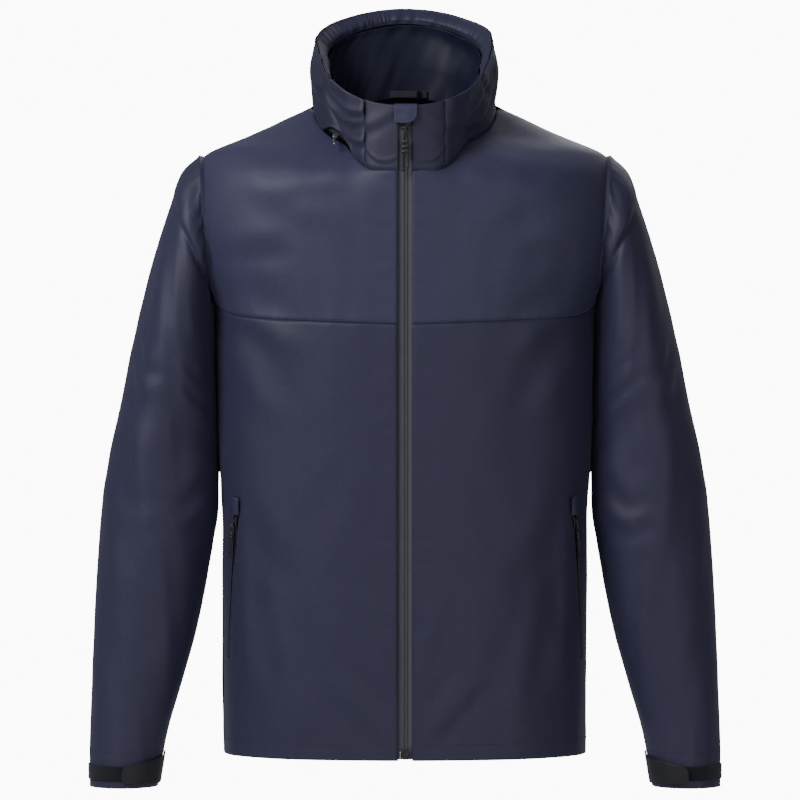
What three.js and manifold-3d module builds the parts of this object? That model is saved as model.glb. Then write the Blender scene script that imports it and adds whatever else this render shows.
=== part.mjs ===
// A foul weather jacket in its worn shape, zipped up, in millimetres.
// +Z is up, the front faces -Y and the wearer's left is +X.
// The origin is the inner face of the hanging loop, inside the back of the neck.
import * as THREE from 'three';
import { mergeVertices } from 'three/addons/utils/BufferGeometryUtils.js';
import Module from 'manifold-3d';

const wasm = await Module();
wasm.setup();

// ---- Driving dimensions. Heights are above the cuff ends until the last group lowers them. ----
const SHELL = 2;
const SEAM_GAP = 0.6;
const HEM_Z = 39;
const ARMPIT_Z = 556;
const ARMHOLE = { middleZ: 641, halfHeight: 86, halfDepth: 72 };
const FRONT_Y = -130;
const YOKE_Z = 530;
const YOKE_SIDE_RISE = 36;
const SHOULDER_TIP_Z = 727;
const ZIP_OPENING = 16;
const HEM_DEPTH = 27;
const SECTION_POWER = 2.4;

// Body sections: height, half width, front depth, back depth and the side line's place front to back.
const BODY_LEVELS = [
  [39, 209, 135, 128, 5],
  [200, 210, 136, 133, 6],
  [400, 214, 137, 140, 7],
  [540, 216, 138, 146, 8],
  [600, 240, 138.5, 147, 8.5],
  [640, 250, 139, 145, 9],
  [700, 243, 140, 133, 10],
  [726, 234, 105, 125, 10],
  [750, 184, 68.5, 118, 10],
  [770, 139, 38, 111, 10],
  [788, 104, 12, 103, 10],
  [807, 94, 5, 94, 10],
  [818, 84, 5, 88, 10],
  [834, 60, 5, 76, 10],
];

// The neck seam and the rim lie in planes that rise towards the back by this angle.
const NECK_TILT = 31 * Math.PI / 180;
const NECK_FRONT_Z = 704;
const NECK = { radius: 105, centreAlong: 147, bow: 42 };
const RIM = { radius: 103, bow: 44, rise: 72 };
const COLLAR_SEAM_X = 46;
const HOOD_ZIP_START = 45 * Math.PI / 180;

// Left sleeve rings: outer point x and z, inner point x and z, middle y and half depth.
const SLEEVE_RINGS = [
  [237.5, 728, 222.5, 556, 8, 72],
  [258, 708, 222, 537, 8, 79],
  [272, 668, 221.5, 508, 8, 83],
  [290, 612, 221, 480, 7, 86],
  [309, 535, 220.5, 455, 6, 86],
  [327, 448, 220, 425, 4, 82],
  [348, 340, 218.5, 335, -2, 74],
  [354, 270, 226, 255, -8, 68],
  [358, 190, 240, 180, -16, 60],
  [360, 130, 255.5, 125, -23, 54],
  [361, 70, 272, 68, -29, 49],
  [361.5, 3, 283, 3, -35, 45],
];

// The hanging loop's inner face, which the frame starts from, stands off the lining.
const LOOP = { y: 58.5, z: 802, standOff: 6.5, strap: 8, thick: 1.5 };
const ZIP = { bottomZ: 51, topZ: 772, tapeHalf: 12, slot: 0.5 };
const POCKET = { topX: 192, topZ: 313, bottomX: 202, bottomZ: 150, slotWidth: 9 };

// ---- Colours ----
const NAVY = { color: 0x2c2d47, roughness: 0.6, metalness: 0 };
const SATIN = { color: 0x1c1e2c, roughness: 0.35, metalness: 0 };
const TAPE_GREY = { color: 0x43474e, roughness: 0.8, metalness: 0 };
const BLACK = { color: 0x141418, roughness: 0.5, metalness: 0 };
const HOOK_BLACK = { color: 0x17181f, roughness: 0.95, metalness: 0 };
const SILVER = { color: 0x8c8f94, roughness: 0.35, metalness: 0.9 };

const jacket = new THREE.Group();

function addPiece(name, geometry, finish, parent = jacket) {
  const mesh = new THREE.Mesh(geometry, new THREE.MeshStandardMaterial(finish));
  mesh.name = name;
  parent.add(mesh);
  return mesh;
}

function mix(a, b, t) {
  return a + (b - a) * t;
}

function smooth(from, to, value) {
  return THREE.MathUtils.smoothstep(value, from, to);
}

// A smooth curve through rows of [key, value, ...] that never swings past a row's value.
function rowAt(rows, key) {
  let i = 0;
  while (i < rows.length - 2 && key > rows[i + 1][0]) i += 1;
  const step = (k, c) => (rows[k + 1][c] - rows[k][c]) / (rows[k + 1][0] - rows[k][0]);
  const slope = (k, c) => {
    if (k === 0) return step(0, c);
    if (k === rows.length - 1) return step(k - 1, c);
    const before = step(k - 1, c);
    const after = step(k, c);
    return before * after <= 0 ? 0 : 2 * before * after / (before + after);
  };
  const length = rows[i + 1][0] - rows[i][0];
  const t = (key - rows[i][0]) / length;
  const values = [];
  for (let c = 1; c < rows[i].length; c += 1) {
    const rest = (1 - t) * (1 - t);
    const start = rows[i][c] * (1 + 2 * t) * rest + slope(i, c) * length * t * rest;
    const end = rows[i + 1][c] * t * t * (3 - 2 * t) - slope(i + 1, c) * length * t * t * (1 - t);
    values.push(start + end);
  }
  return values;
}

// ---- Closed sheets and tubes bent to a surface: point(u, v, depth) is a place under the outer face ----
function snap(value) {
  return Math.round(value * 1e6) / 1e6;
}

function bentSheet(point, across, up, outer, inner) {
  const geometry = new THREE.BoxGeometry(1, 1, 1, across, up, 1);
  const place = geometry.attributes.position;
  for (let i = 0; i < place.count; i += 1) {
    const depth = place.getZ(i) > 0 ? outer : inner;
    const p = point(snap(place.getX(i) + 0.5), snap(place.getY(i) + 0.5), depth);
    place.setXYZ(i, p.x, p.y, p.z);
  }
  return geometry;
}

function bentTube(point, around, along, outer, inner) {
  const profile = [];
  for (let i = 0; i <= along; i += 1) profile.push(new THREE.Vector2(2, i / along));
  for (let i = along; i >= 0; i -= 1) profile.push(new THREE.Vector2(1, i / along));
  profile.push(profile[0].clone());
  const geometry = new THREE.LatheGeometry(profile, around);
  const place = geometry.attributes.position;
  for (let i = 0; i < place.count; i += 1) {
    const turn = Math.round(Math.atan2(place.getX(i), place.getZ(i)) / (2 * Math.PI) * around);
    const angle = -(turn + around) % around / around * 2 * Math.PI;
    const depth = Math.hypot(place.getX(i), place.getZ(i)) > 1.5 ? outer : inner;
    const p = point(angle, snap(place.getY(i)), depth);
    place.setXYZ(i, p.x, p.y, p.z);
  }
  return geometry;
}

function mirrorX(geometry) {
  const copy = geometry.clone().toNonIndexed();
  const place = copy.attributes.position;
  for (let i = 0; i < place.count; i += 3) {
    const corners = [0, 2, 1].map((k) => [place.getX(i + k), place.getY(i + k), place.getZ(i + k)]);
    corners.forEach(([x, y, z], k) => place.setXYZ(i + k, -x, y, z));
  }
  return copy;
}

function solid(geometry) {
  const bare = geometry.index ? geometry.toNonIndexed() : geometry.clone();
  bare.deleteAttribute('normal');
  bare.deleteAttribute('uv');
  const merged = mergeVertices(bare, 1e-4);
  return new wasm.Manifold(new wasm.Mesh({
    numProp: 3,
    vertProperties: new Float32Array(merged.attributes.position.array),
    triVerts: new Uint32Array(merged.index.array),
  }));
}

function fromSolid(body) {
  const mesh = body.getMesh();
  const geometry = new THREE.BufferGeometry();
  geometry.setAttribute('position', new THREE.BufferAttribute(mesh.vertProperties, 3));
  geometry.setIndex(new THREE.BufferAttribute(mesh.triVerts, 1));
  return geometry;
}

// ---- The body surface: facing is -1 for the front and 1 for the back ----
function bodySection(facing, z) {
  const [halfWidth, frontDepth, backDepth, middle] = rowAt(BODY_LEVELS, z);
  return { halfWidth, middle, reach: facing < 0 ? frontDepth : backDepth };
}

function bodyFullness(facing, x, y, z) {
  const { halfWidth, middle, reach } = bodySection(facing, z);
  return Math.abs(x / halfWidth) ** SECTION_POWER + Math.abs((y - middle) / reach) ** SECTION_POWER;
}

function bodyNormal(facing, p) {
  const e = 0.02;
  return new THREE.Vector3(
    bodyFullness(facing, p.x + e, p.y, p.z) - bodyFullness(facing, p.x - e, p.y, p.z),
    bodyFullness(facing, p.x, p.y + e, p.z) - bodyFullness(facing, p.x, p.y - e, p.z),
    bodyFullness(facing, p.x, p.y, p.z + e) - bodyFullness(facing, p.x, p.y, p.z - e),
  ).normalize();
}

function bodyPoint(facing, angle, z, depth) {
  const { halfWidth, middle, reach } = bodySection(facing, z);
  const bow = 2 / SECTION_POWER;
  const x = halfWidth * Math.sign(angle) * Math.abs(Math.sin(angle)) ** bow;
  const y = middle + facing * reach * Math.abs(Math.cos(angle)) ** bow;
  const p = new THREE.Vector3(x, y, z);
  return p.addScaledVector(bodyNormal(facing, p), -depth);
}

function angleAtX(facing, x, z) {
  const { halfWidth } = bodySection(facing, z);
  return Math.sign(x) * Math.asin(Math.min(1, Math.abs(x) / halfWidth) ** (SECTION_POWER / 2));
}

function armholeHalfDepth(z) {
  const height = (z - ARMHOLE.middleZ) / ARMHOLE.halfHeight;
  return ARMHOLE.halfDepth * Math.sqrt(Math.max(0, 1 - height * height));
}

// The angle of the side seam, the armhole edge or the shoulder seam at a height.
function sideAngle(facing, z, extra = 0) {
  const { reach } = bodySection(facing, z);
  const away = Math.max(SEAM_GAP / 2, armholeHalfDepth(z)) + extra;
  return Math.acos(Math.min(1, away / reach) ** (SECTION_POWER / 2));
}

// ---- The collar surface: angle is from the front centre, up runs from the neck seam to the rim ----
function collarSurface(angle, up) {
  const turn = Math.abs(Math.atan2(Math.sin(angle), Math.cos(angle)));
  const neck = NECK.radius + NECK.bow * smooth(-45, -12, -turn * 180 / Math.PI);
  const rim = RIM.radius + RIM.bow * Math.cos(Math.min(Math.PI / 2, 1.125 * turn)) ** 2;
  const fullness = 6 * smooth(0.8, 2, turn) * Math.sin(Math.PI * Math.min(1, Math.max(0, up))) ** 2;
  const radius = mix(neck, rim, up) + fullness;
  const along = NECK.centreAlong - radius * Math.cos(angle);
  const lift = up * (RIM.rise + 8 * Math.sin(turn) ** 6);
  return new THREE.Vector3(
    radius * Math.sin(angle),
    FRONT_Y + along * Math.cos(NECK_TILT),
    NECK_FRONT_Z + along * Math.sin(NECK_TILT) + lift,
  );
}

function underSurface(surface, a, b, depth, sign) {
  const step = 1e-3;
  const alongA = surface(a + step, b).sub(surface(a - step, b));
  const alongB = surface(a, b + step).sub(surface(a, b - step));
  return surface(a, b).addScaledVector(alongA.cross(alongB).normalize(), -depth * sign);
}

function collarPoint(angle, up, depth) {
  return underSurface(collarSurface, angle, up, depth, 1);
}

function collarAngleAtX(x, up) {
  let low = 0;
  let high = 1.2;
  for (let i = 0; i < 40; i += 1) {
    const middle = (low + high) / 2;
    if (collarSurface(middle, up).x < x) low = middle;
    else high = middle;
  }
  return low;
}

// How far the lining hangs inside the collar: the stowed hood fills the sides and back.
function liningDepth(angle) {
  const turn = Math.abs(Math.atan2(Math.sin(angle), Math.cos(angle)));
  return 5 + 10 * smooth(0.7, 1.5, turn);
}

// ---- The left sleeve surface: angle 0 is the front and a quarter turn is the outside ----
const SLEEVE_ROWS = SLEEVE_RINGS.map((ring, i) => [i / (SLEEVE_RINGS.length - 1), ...ring]);

function sleeveSurface(angle, along) {
  const [outX, outZ, inX, inZ, middleY, halfDepth] = rowAt(SLEEVE_ROWS, along);
  const side = Math.sin(angle) / 2;
  return new THREE.Vector3(
    (outX + inX) / 2 + (outX - inX) * side,
    middleY - halfDepth * Math.cos(angle),
    (outZ + inZ) / 2 + (outZ - inZ) * side,
  );
}

function sleevePoint(angle, along, depth) {
  return underSurface(sleeveSurface, angle, along, depth, -1);
}

// ---- A body panel is a patch between four edges, each edge giving [angle, height] ----
function patch(facing, edges) {
  return (u, v, depth) => {
    const [low, high, left, right] = [edges.bottom(u), edges.top(u), edges.left(v), edges.right(v)];
    const [lowLeft, lowRight] = [edges.bottom(0), edges.bottom(1)];
    const [highLeft, highRight] = [edges.top(0), edges.top(1)];
    const at = [0, 1].map((k) => mix(low[k], high[k], v) + mix(left[k], right[k], u)
      - mix(mix(lowLeft[k], lowRight[k], u), mix(highLeft[k], highRight[k], u), v));
    return bodyPoint(facing, at[0], at[1], depth);
  };
}

function zipEdge(z) {
  return [angleAtX(-1, ZIP_OPENING / 2, z), z];
}

function frontYokeSeam(u, lift) {
  const z = YOKE_Z + lift + 13 * u + (YOKE_SIDE_RISE - 13) * u ** 6;
  const start = zipEdge(z)[0];
  return [mix(start, sideAngle(-1, z), u), z];
}

const NECK_SIDE_ANGLE = 98.5 * Math.PI / 180;
const NECK_SIDE_Z = 787;
const NECK_SHARE = 0.5;
const NECK_EDGE_DROP = 2.5;

function neckEdge(facing, angle, drop) {
  const p = collarSurface(angle, 0);
  const z = p.z - drop;
  const limit = sideAngle(facing, z);
  return [Math.max(-limit, Math.min(limit, angleAtX(facing, p.x, z))), z];
}

function frontTop(u) {
  if (u > NECK_SHARE) {
    const z = mix(NECK_SIDE_Z, SHOULDER_TIP_Z, (u - NECK_SHARE) / (1 - NECK_SHARE));
    return [sideAngle(-1, z), z];
  }
  const start = collarAngleAtX(ZIP_OPENING / 2, 0);
  return neckEdge(-1, mix(start, NECK_SIDE_ANGLE, u / NECK_SHARE), NECK_EDGE_DROP);
}

function frontYoke() {
  return patch(-1, {
    bottom: (u) => frontYokeSeam(u, SEAM_GAP / 2),
    top: frontTop,
    left: (v) => zipEdge(mix(frontYokeSeam(0, SEAM_GAP / 2)[1], frontTop(0)[1], v)),
    right: (v) => {
      const z = mix(frontYokeSeam(1, SEAM_GAP / 2)[1], SHOULDER_TIP_Z, v);
      return [sideAngle(-1, z), z];
    },
  });
}

function frontBody(bottomZ) {
  return patch(-1, {
    bottom: (u) => [mix(zipEdge(bottomZ)[0], sideAngle(-1, bottomZ), u), bottomZ],
    top: (u) => frontYokeSeam(u, -SEAM_GAP / 2),
    left: (v) => zipEdge(mix(bottomZ, frontYokeSeam(0, -SEAM_GAP / 2)[1], v)),
    right: (v) => {
      const z = mix(bottomZ, frontYokeSeam(1, -SEAM_GAP / 2)[1], v);
      return [sideAngle(-1, z), z];
    },
  });
}

const BACK_SEAM_Z = YOKE_Z + YOKE_SIDE_RISE;
const RIDGE_SHARE = 0.25;

function backTop(u) {
  const fromSide = Math.min(u, 1 - u);
  const side = u < 0.5 ? 1 : -1;
  if (fromSide < RIDGE_SHARE) {
    const z = mix(SHOULDER_TIP_Z, NECK_SIDE_Z, fromSide / RIDGE_SHARE);
    return [side * sideAngle(1, z), z];
  }
  const across = (u - RIDGE_SHARE) / (1 - 2 * RIDGE_SHARE);
  return neckEdge(1, mix(NECK_SIDE_ANGLE, 2 * Math.PI - NECK_SIDE_ANGLE, across), NECK_EDGE_DROP);
}

function backPanel(bottomZ, topZ, top) {
  return patch(1, {
    bottom: (u) => [mix(1, -1, u) * sideAngle(1, bottomZ), bottomZ],
    top,
    left: (v) => [sideAngle(1, mix(bottomZ, topZ, v)), mix(bottomZ, topZ, v)],
    right: (v) => [-sideAngle(1, mix(bottomZ, topZ, v)), mix(bottomZ, topZ, v)],
  });
}

function levelBackTop(z) {
  return (u) => [mix(1, -1, u) * sideAngle(1, z), z];
}

// Adds a left piece and its mirror image on the right.
function addPair(name, geometry, finish, parents = [jacket, jacket]) {
  addPiece(`left_${name}`, geometry, finish, parents[0]);
  addPiece(`right_${name}`, mirrorX(geometry), finish, parents[1]);
}

// ---- Pocket zip: a frame that follows the slanting line on the side of the front ----
function pocketFrame() {
  const at = (x, z) => bodyPoint(-1, angleAtX(-1, x, z), z, 0);
  const top = at(POCKET.topX, POCKET.topZ);
  const bottom = at(POCKET.bottomX, POCKET.bottomZ);
  const down = bottom.clone().sub(top).normalize();
  const middle = top.clone().lerp(bottom, 0.5);
  const out = bodyNormal(-1, middle).addScaledVector(down, -bodyNormal(-1, middle).dot(down)).normalize();
  const across = new THREE.Vector3().crossVectors(out, down).normalize();
  const place = new THREE.Matrix4().makeBasis(across, out, down).setPosition(top);
  return { place, length: top.distanceTo(bottom) };
}

const pocket = pocketFrame();

// A box in the pocket's frame: x across, y outwards and z down the zip.
function pocketBox(width, outFrom, outTo, from, to) {
  const geometry = new THREE.BoxGeometry(width, outTo - outFrom, to - from);
  geometry.translate(0, (outFrom + outTo) / 2, (from + to) / 2);
  return geometry.applyMatrix4(pocket.place);
}

function roundedPlate(width, height, radius, thick) {
  const shape = new THREE.Shape();
  const [w, h] = [width / 2 - radius, height / 2 - radius];
  shape.absarc(w, h, radius, 0, Math.PI / 2);
  shape.absarc(-w, h, radius, Math.PI / 2, Math.PI);
  shape.absarc(-w, -h, radius, Math.PI, 1.5 * Math.PI);
  shape.absarc(w, -h, radius, 1.5 * Math.PI, 2 * Math.PI);
  const options = { depth: thick, bevelEnabled: false, curveSegments: 2 };
  const geometry = new THREE.ExtrudeGeometry(shape, options);
  return geometry.translate(0, 0, -thick / 2);
}

// Stands a plate, made lying in x and y, upright so that it faces -Y.
function upright(geometry, x, y, z) {
  return geometry.rotateX(Math.PI / 2).translate(x, y, z);
}

function addShell() {
  addPair('front_yoke', bentSheet(frontYoke(), 12, 7, 0, SHELL), NAVY);
  const slot = pocketBox(POCKET.slotWidth, -12, 12, -4, pocket.length);
  const front = solid(bentSheet(frontBody(HEM_Z), 10, 7, 0, SHELL)).subtract(solid(slot));
  addPair('front_body', fromSolid(front), NAVY);
  const yoke = backPanel(BACK_SEAM_Z + SEAM_GAP / 2, SHOULDER_TIP_Z, backTop);
  addPiece('back_yoke', bentSheet(yoke, 24, 5, 0, SHELL), NAVY);
  const backBottom = BACK_SEAM_Z - SEAM_GAP / 2;
  const back = backPanel(HEM_Z, backBottom, levelBackTop(backBottom));
  addPiece('back_body', bentSheet(back, 16, 6, 0, SHELL), NAVY);
}

const HEM_LAYER = { outer: SHELL + 1.6, inner: SHELL + 3 };

function addHem() {
  const topZ = HEM_Z + HEM_DEPTH;
  const strip = (facing, start) => (u, v, depth) => {
    const z = mix(HEM_Z + 0.5, topZ, v);
    return bodyPoint(facing, mix(start, sideAngle(facing, z, 2), u), z, depth);
  };
  const start = angleAtX(-1, ZIP_OPENING / 2 + 8, HEM_Z);
  addPair('hem_facing', bentSheet(strip(-1, start), 10, 1, HEM_LAYER.outer, HEM_LAYER.inner), NAVY);
  const back = (u, v, depth) => {
    const z = mix(HEM_Z + 0.5, topZ, v);
    return bodyPoint(1, mix(1, -1, u) * sideAngle(1, z, 2), z, depth);
  };
  addPiece('back_hem_facing', bentSheet(back, 16, 1, HEM_LAYER.outer, HEM_LAYER.inner), NAVY);
}

const LINING = { outer: 9, inner: 10.2 };
const LINING_BOTTOM_Z = HEM_Z + HEM_DEPTH + 3;

function addLining() {
  const bottom = LINING_BOTTOM_Z;
  const front = (u, v, depth) => {
    const z = mix(bottom, YOKE_Z - 5, v);
    return bodyPoint(-1, mix(angleAtX(-1, ZIP.tapeHalf + 4, z), sideAngle(-1, z, 9), u), z, depth);
  };
  addPair('front_lining', bentSheet(front, 8, 6, LINING.outer, LINING.inner), SATIN);
  const back = (u, v, depth) => {
    const z = mix(bottom, BACK_SEAM_Z, v);
    return bodyPoint(1, mix(1, -1, u) * sideAngle(1, z, 9), z, depth);
  };
  addPiece('back_lining', bentSheet(back, 12, 6, LINING.outer, LINING.inner), SATIN);
}

const HOOD_ZIP = { low: 0.03, high: 0.12 };
const COLLAR_BASE = 0.6 / RIM.rise;
const RIM_BAND = 0.78;
// At the back the lining runs on below the neck seam, as part of the collar's height.
const NECK_FACING = -0.5;

function addCollar() {
  const front = (u, v, depth) => {
    const up = mix(COLLAR_BASE, 1, v);
    const from = collarAngleAtX(ZIP_OPENING / 2, up);
    const to = collarAngleAtX(COLLAR_SEAM_X - SEAM_GAP / 2, up);
    return collarPoint(mix(from, to, u), up, depth);
  };
  addPair('collar_front', bentSheet(front, 4, 6, 0, SHELL), NAVY);
  const wrap = (u, v, depth) => {
    const up = mix(HOOD_ZIP.high + 0.02, 1, v);
    const from = collarAngleAtX(COLLAR_SEAM_X + SEAM_GAP / 2, up);
    return collarPoint(mix(from, 2 * Math.PI - from, u), up, depth);
  };
  addPiece('collar_outer', bentSheet(wrap, 32, 5, 0, SHELL), NAVY);
  const chain = (u, v, depth) => collarPoint(
    mix(HOOD_ZIP_START - 0.35, 2 * Math.PI - HOOD_ZIP_START + 0.35, u),
    mix(HOOD_ZIP.low, HOOD_ZIP.high, v),
    depth,
  );
  addPiece('hood_zip_chain', bentSheet(chain, 32, 1, 0.6, 2.2), BLACK);
  const roll = (u, v, depth) => collarPoint(mix(1.55, 2 * Math.PI - 1.55, u), mix(0.16, 0.72, v), depth);
  addPiece('stowed_hood', bentSheet(roll, 20, 3, SHELL + 1, 13.5), NAVY);
  const lining = (u, v, depth) => {
    const angle = mix(0.2, 2 * Math.PI - 0.2, u);
    const turn = Math.min(angle, 2 * Math.PI - angle);
    const low = mix(0.02, NECK_FACING, smooth(1, 2.6, turn));
    return collarPoint(angle, mix(low, RIM_BAND - 0.02, v), liningDepth(angle) + depth);
  };
  addPiece('collar_lining', bentSheet(lining, 28, 3, 0, 1.2), SATIN);
  const band = (u, v, depth) => {
    const angle = mix(0.2, 2 * Math.PI - 0.2, u);
    const tuck = mix(liningDepth(angle), SHELL + 1, smooth(0.3, 1, v));
    return collarPoint(angle, mix(RIM_BAND, 0.995, v), tuck + depth);
  };
  addPiece('collar_top_band', bentSheet(band, 28, 2, 0, 1.5), NAVY);
}

const LAYERS = { tapeFront: -126.9, tapeBack: -125.9, coilFront: -125.6, coilBack: -122.9 };
const SLIDER_Z = 757;
const PULL_PIVOT = new THREE.Vector3(0, -134, 750);

function boxFromTo(x0, x1, y0, y1, z0, z1) {
  const geometry = new THREE.BoxGeometry(x1 - x0, y1 - y0, z1 - z0);
  return geometry.translate((x0 + x1) / 2, (y0 + y1) / 2, (z0 + z1) / 2);
}

function addMainZip() {
  const { bottomZ, topZ, tapeHalf, slot } = ZIP;
  const tape = boxFromTo(slot, tapeHalf, LAYERS.tapeFront, LAYERS.tapeBack, bottomZ, topZ);
  addPair('zip_tape', tape, TAPE_GREY);
  addPair('zip_coil', boxFromTo(slot, 3.6, LAYERS.coilFront, LAYERS.coilBack, bottomZ, topZ - 3), BLACK);
  addPair('top_stop', boxFromTo(slot, 4, LAYERS.coilFront, LAYERS.coilBack, topZ - 2.6, topZ), BLACK);
  addPiece('zip_retainer_box', boxFromTo(-4, 4, -130.5, -122.5, HEM_Z + 1.5, bottomZ - 0.5), BLACK);
  const pin = new THREE.CylinderGeometry(1, 1, 9, 8).rotateX(Math.PI / 2);
  addPiece('zip_insertion_pin', pin.translate(-5.4, -126.6, HEM_Z + 6.5), SILVER);
}

// Upper and lower plates, a thin post between them and a bar that the pull hangs on.
function sliderSolid(plate, bar) {
  const top = solid(upright(roundedPlate(plate.width, plate.height, 3, 2), 0, plate.frontY, 0));
  const bottom = solid(upright(roundedPlate(plate.width, plate.height, 3, 1.2), 0, plate.backY, 0));
  const reach = plate.height / 2 - 2;
  const post = solid(boxFromTo(-0.2, 0.2, plate.frontY, plate.backY, -reach, reach));
  const lyingRod = new THREE.CylinderGeometry(0.9, 0.9, bar.width, 8).rotateZ(Math.PI / 2);
  const rod = solid(lyingRod.translate(0, bar.y, bar.z));
  const ends = [bar.y - 0.9, plate.frontY, bar.z - 1.5, bar.z + 1.5];
  const cheek = (x) => solid(boxFromTo(x - 0.6, x + 0.6, ...ends));
  const side = bar.width / 2;
  return top.add(bottom).add(post).add(rod).add(cheek(-side)).add(cheek(side));
}

function cord(points, diameter, steps) {
  const path = new THREE.CatmullRomCurve3(points.map(([x, y, z]) => new THREE.Vector3(x, y, z)));
  const shape = new THREE.Shape();
  shape.absarc(0, 0, diameter / 2, 0, 2 * Math.PI);
  return new THREE.ExtrudeGeometry(shape, { steps, extrudePath: path, curveSegments: 4 });
}

// The pull cord's route: up behind the slider's bar, over it and down in front.
const PULL_CORD_ROUTE = [
  [-2.6, -134, 703],
  [-2.6, -134, 722],
  [-2, -133.6, 736],
  [-0.6, -131.6, 746],
  [0, -131.4, 750.3],
  [0, -134, 752.7],
  [0, -136.6, 750.3],
  [0.6, -136.4, 746],
  [2.4, -134.4, 736],
  [3, -134, 722],
  [3.2, -134, 707],
];

function addMainSlider() {
  const plate = { width: 10.5, height: 16, frontY: -129, backY: -121.8 };
  const slider = sliderSolid(plate, { width: 7, y: PULL_PIVOT.y, z: PULL_PIVOT.z - SLIDER_Z });
  addPiece('main_zip_slider', fromSolid(slider.translate([0, 0, SLIDER_Z])), BLACK);
  addPiece('main_zip_pull_cord', cord(PULL_CORD_ROUTE, 2.4, 30), BLACK);
  const block = new THREE.BoxGeometry(9.6, 6, 17).translate(0.2, -134, 729.5);
  const hollow = cord(PULL_CORD_ROUTE, 3.2, 30);
  addPiece('main_zip_pull_grip', fromSolid(solid(block).subtract(solid(hollow))), BLACK);
}

function addFrontTrim() {
  const guard = roundedPlate(26, 22.5, 4, 1.6);
  addPiece('chin_guard', upright(guard, 0.5, -133, 766.5), NAVY);
  addPiece('storm_flap', boxFromTo(-20, 24, -117.6, -116, 70, 765), NAVY);
}

function addPockets() {
  const length = pocket.length;
  addPair('pocket_zip_tape', pocketBox(POCKET.slotWidth - 0.8, -2.6, -1.2, -2, length - 1), TAPE_GREY);
  const slider = pocketBox(6.5, -0.4, 3.2, 0, 11);
  addPair('pocket_zip_slider', slider, BLACK);
  const pull = new THREE.CapsuleGeometry(1.6, 34, 3, 8).rotateX(Math.PI / 2);
  addPair('pocket_zip_pull', pull.translate(0, 5.4, 8 + 18.6).applyMatrix4(pocket.place), BLACK);
  addPair('pocket_zip_garage', pocketBox(11, 0.9, 5, -20, -4.6), NAVY);
  const bag = (u, v, depth) => {
    const z = mix(96, 330, v);
    return bodyPoint(-1, angleAtX(-1, mix(45, 186, u), z), z, depth);
  };
  addPair('pocket_bag', bentSheet(bag, 6, 6, SHELL + 2.2, SHELL + 4.4), SATIN);
}

function addHoodSlider() {
  const angle = -HOOD_ZIP_START;
  const at = collarPoint(angle, (HOOD_ZIP.low + HOOD_ZIP.high) / 2, -4.4);
  const axis = new THREE.Vector3(0, -Math.sin(NECK_TILT), Math.cos(NECK_TILT));
  const out = collarPoint(angle, 0.07, -10).sub(collarPoint(angle, 0.07, 0));
  out.addScaledVector(axis, -out.dot(axis)).normalize();
  const across = new THREE.Vector3().crossVectors(out, axis).normalize();
  const place = new THREE.Matrix4().makeBasis(across, out, axis).setPosition(at);
  addPiece('hood_zip_slider', new THREE.BoxGeometry(11, 4, 6.5).applyMatrix4(place), BLACK);
  const forward = new THREE.Vector3(0, -Math.cos(NECK_TILT), -Math.sin(NECK_TILT));
  const side = new THREE.Vector3(1, 0, 0);
  const face = new THREE.Vector3().crossVectors(side, forward);
  const lying = new THREE.Matrix4().makeBasis(side, forward, face);
  const from = at.clone().addScaledVector(out, 2.4);
  from.addScaledVector(forward, 3.2).addScaledVector(axis, 4.6);
  const pull = roundedPlate(5, 26, 2, 1.6).translate(0, 13, 0).applyMatrix4(lying.setPosition(from));
  addPiece('hood_zip_pull', pull, SILVER);
}

function addNeckTrim() {
  const { standOff, thick, strap } = LOOP;
  const inner = [[-19, standOff], [-14, 0], [14, 0], [19, standOff], [26, standOff]];
  const seat = standOff - thick;
  const outer = [[26, seat], [20, seat], [15, -thick], [-15, -thick], [-20, seat]];
  const foot = [[-26, seat], [-26, standOff]];
  const outline = [...inner, ...outer, ...foot].map(([x, y]) => new THREE.Vector2(x, y));
  const band = new THREE.ExtrudeGeometry(new THREE.Shape(outline), { depth: strap, bevelEnabled: false });
  addPiece('hanger_loop', band.translate(0, LOOP.y, LOOP.z - strap / 2), NAVY);
}

// ---- Sleeves and cuffs ----
const CUFF = { facingFrom: 0.945, stripFrom: 0.953, stripTo: 0.975, tabFrom: 0.94, tabTo: 0.975 };

function addSleeves() {
  addPair('sleeve', bentTube(sleevePoint, 16, 22, 0, SHELL), NAVY);
  const lining = (angle, v, depth) => sleevePoint(angle, mix(0.05, 0.9, v), depth);
  addPair('sleeve_lining', bentTube(lining, 14, 9, 6, 7.2), SATIN);
  const facing = (angle, v, depth) => sleevePoint(angle, mix(CUFF.facingFrom, 0.998, v), depth);
  addPair('cuff_facing', bentTube(facing, 16, 1, SHELL + 1, SHELL + 2.4), NAVY);
}

function cuffStrip(fromAngle, toAngle, from, to) {
  return (u, v, depth) => sleevePoint(mix(fromAngle, toAngle, u), mix(to, from, v), depth);
}

function addCuffs() {
  const strip = cuffStrip(-0.7, 2.2, CUFF.stripFrom, CUFF.stripTo);
  addPair('cuff_loop_strip', bentSheet(strip, 12, 1, -1.5, -0.4), HOOK_BLACK);
  const patchPoint = cuffStrip(-0.62, -0.05, CUFF.stripFrom, CUFF.stripTo);
  addPair('cuff_hook_patch', bentSheet(patchPoint, 4, 1, -2.9, -1.9), HOOK_BLACK);
  const tab = cuffStrip(-1.75, 0.02, CUFF.tabFrom, CUFF.tabTo);
  addPair('cuff_tab', bentSheet(tab, 9, 2, -5.2, -3.3), NAVY);
}

addShell();
addHem();
addLining();
addCollar();
addMainZip();
addMainSlider();
addFrontTrim();
addPockets();
addHoodSlider();
addNeckTrim();
addSleeves();
addCuffs();

jacket.position.set(0, -LOOP.y, -LOOP.z);
const model = new THREE.Group();
model.add(jacket);

export default model;
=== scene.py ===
import bpy
import bmesh
import math
import numpy as np
from mathutils import Matrix, Vector, noise


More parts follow.
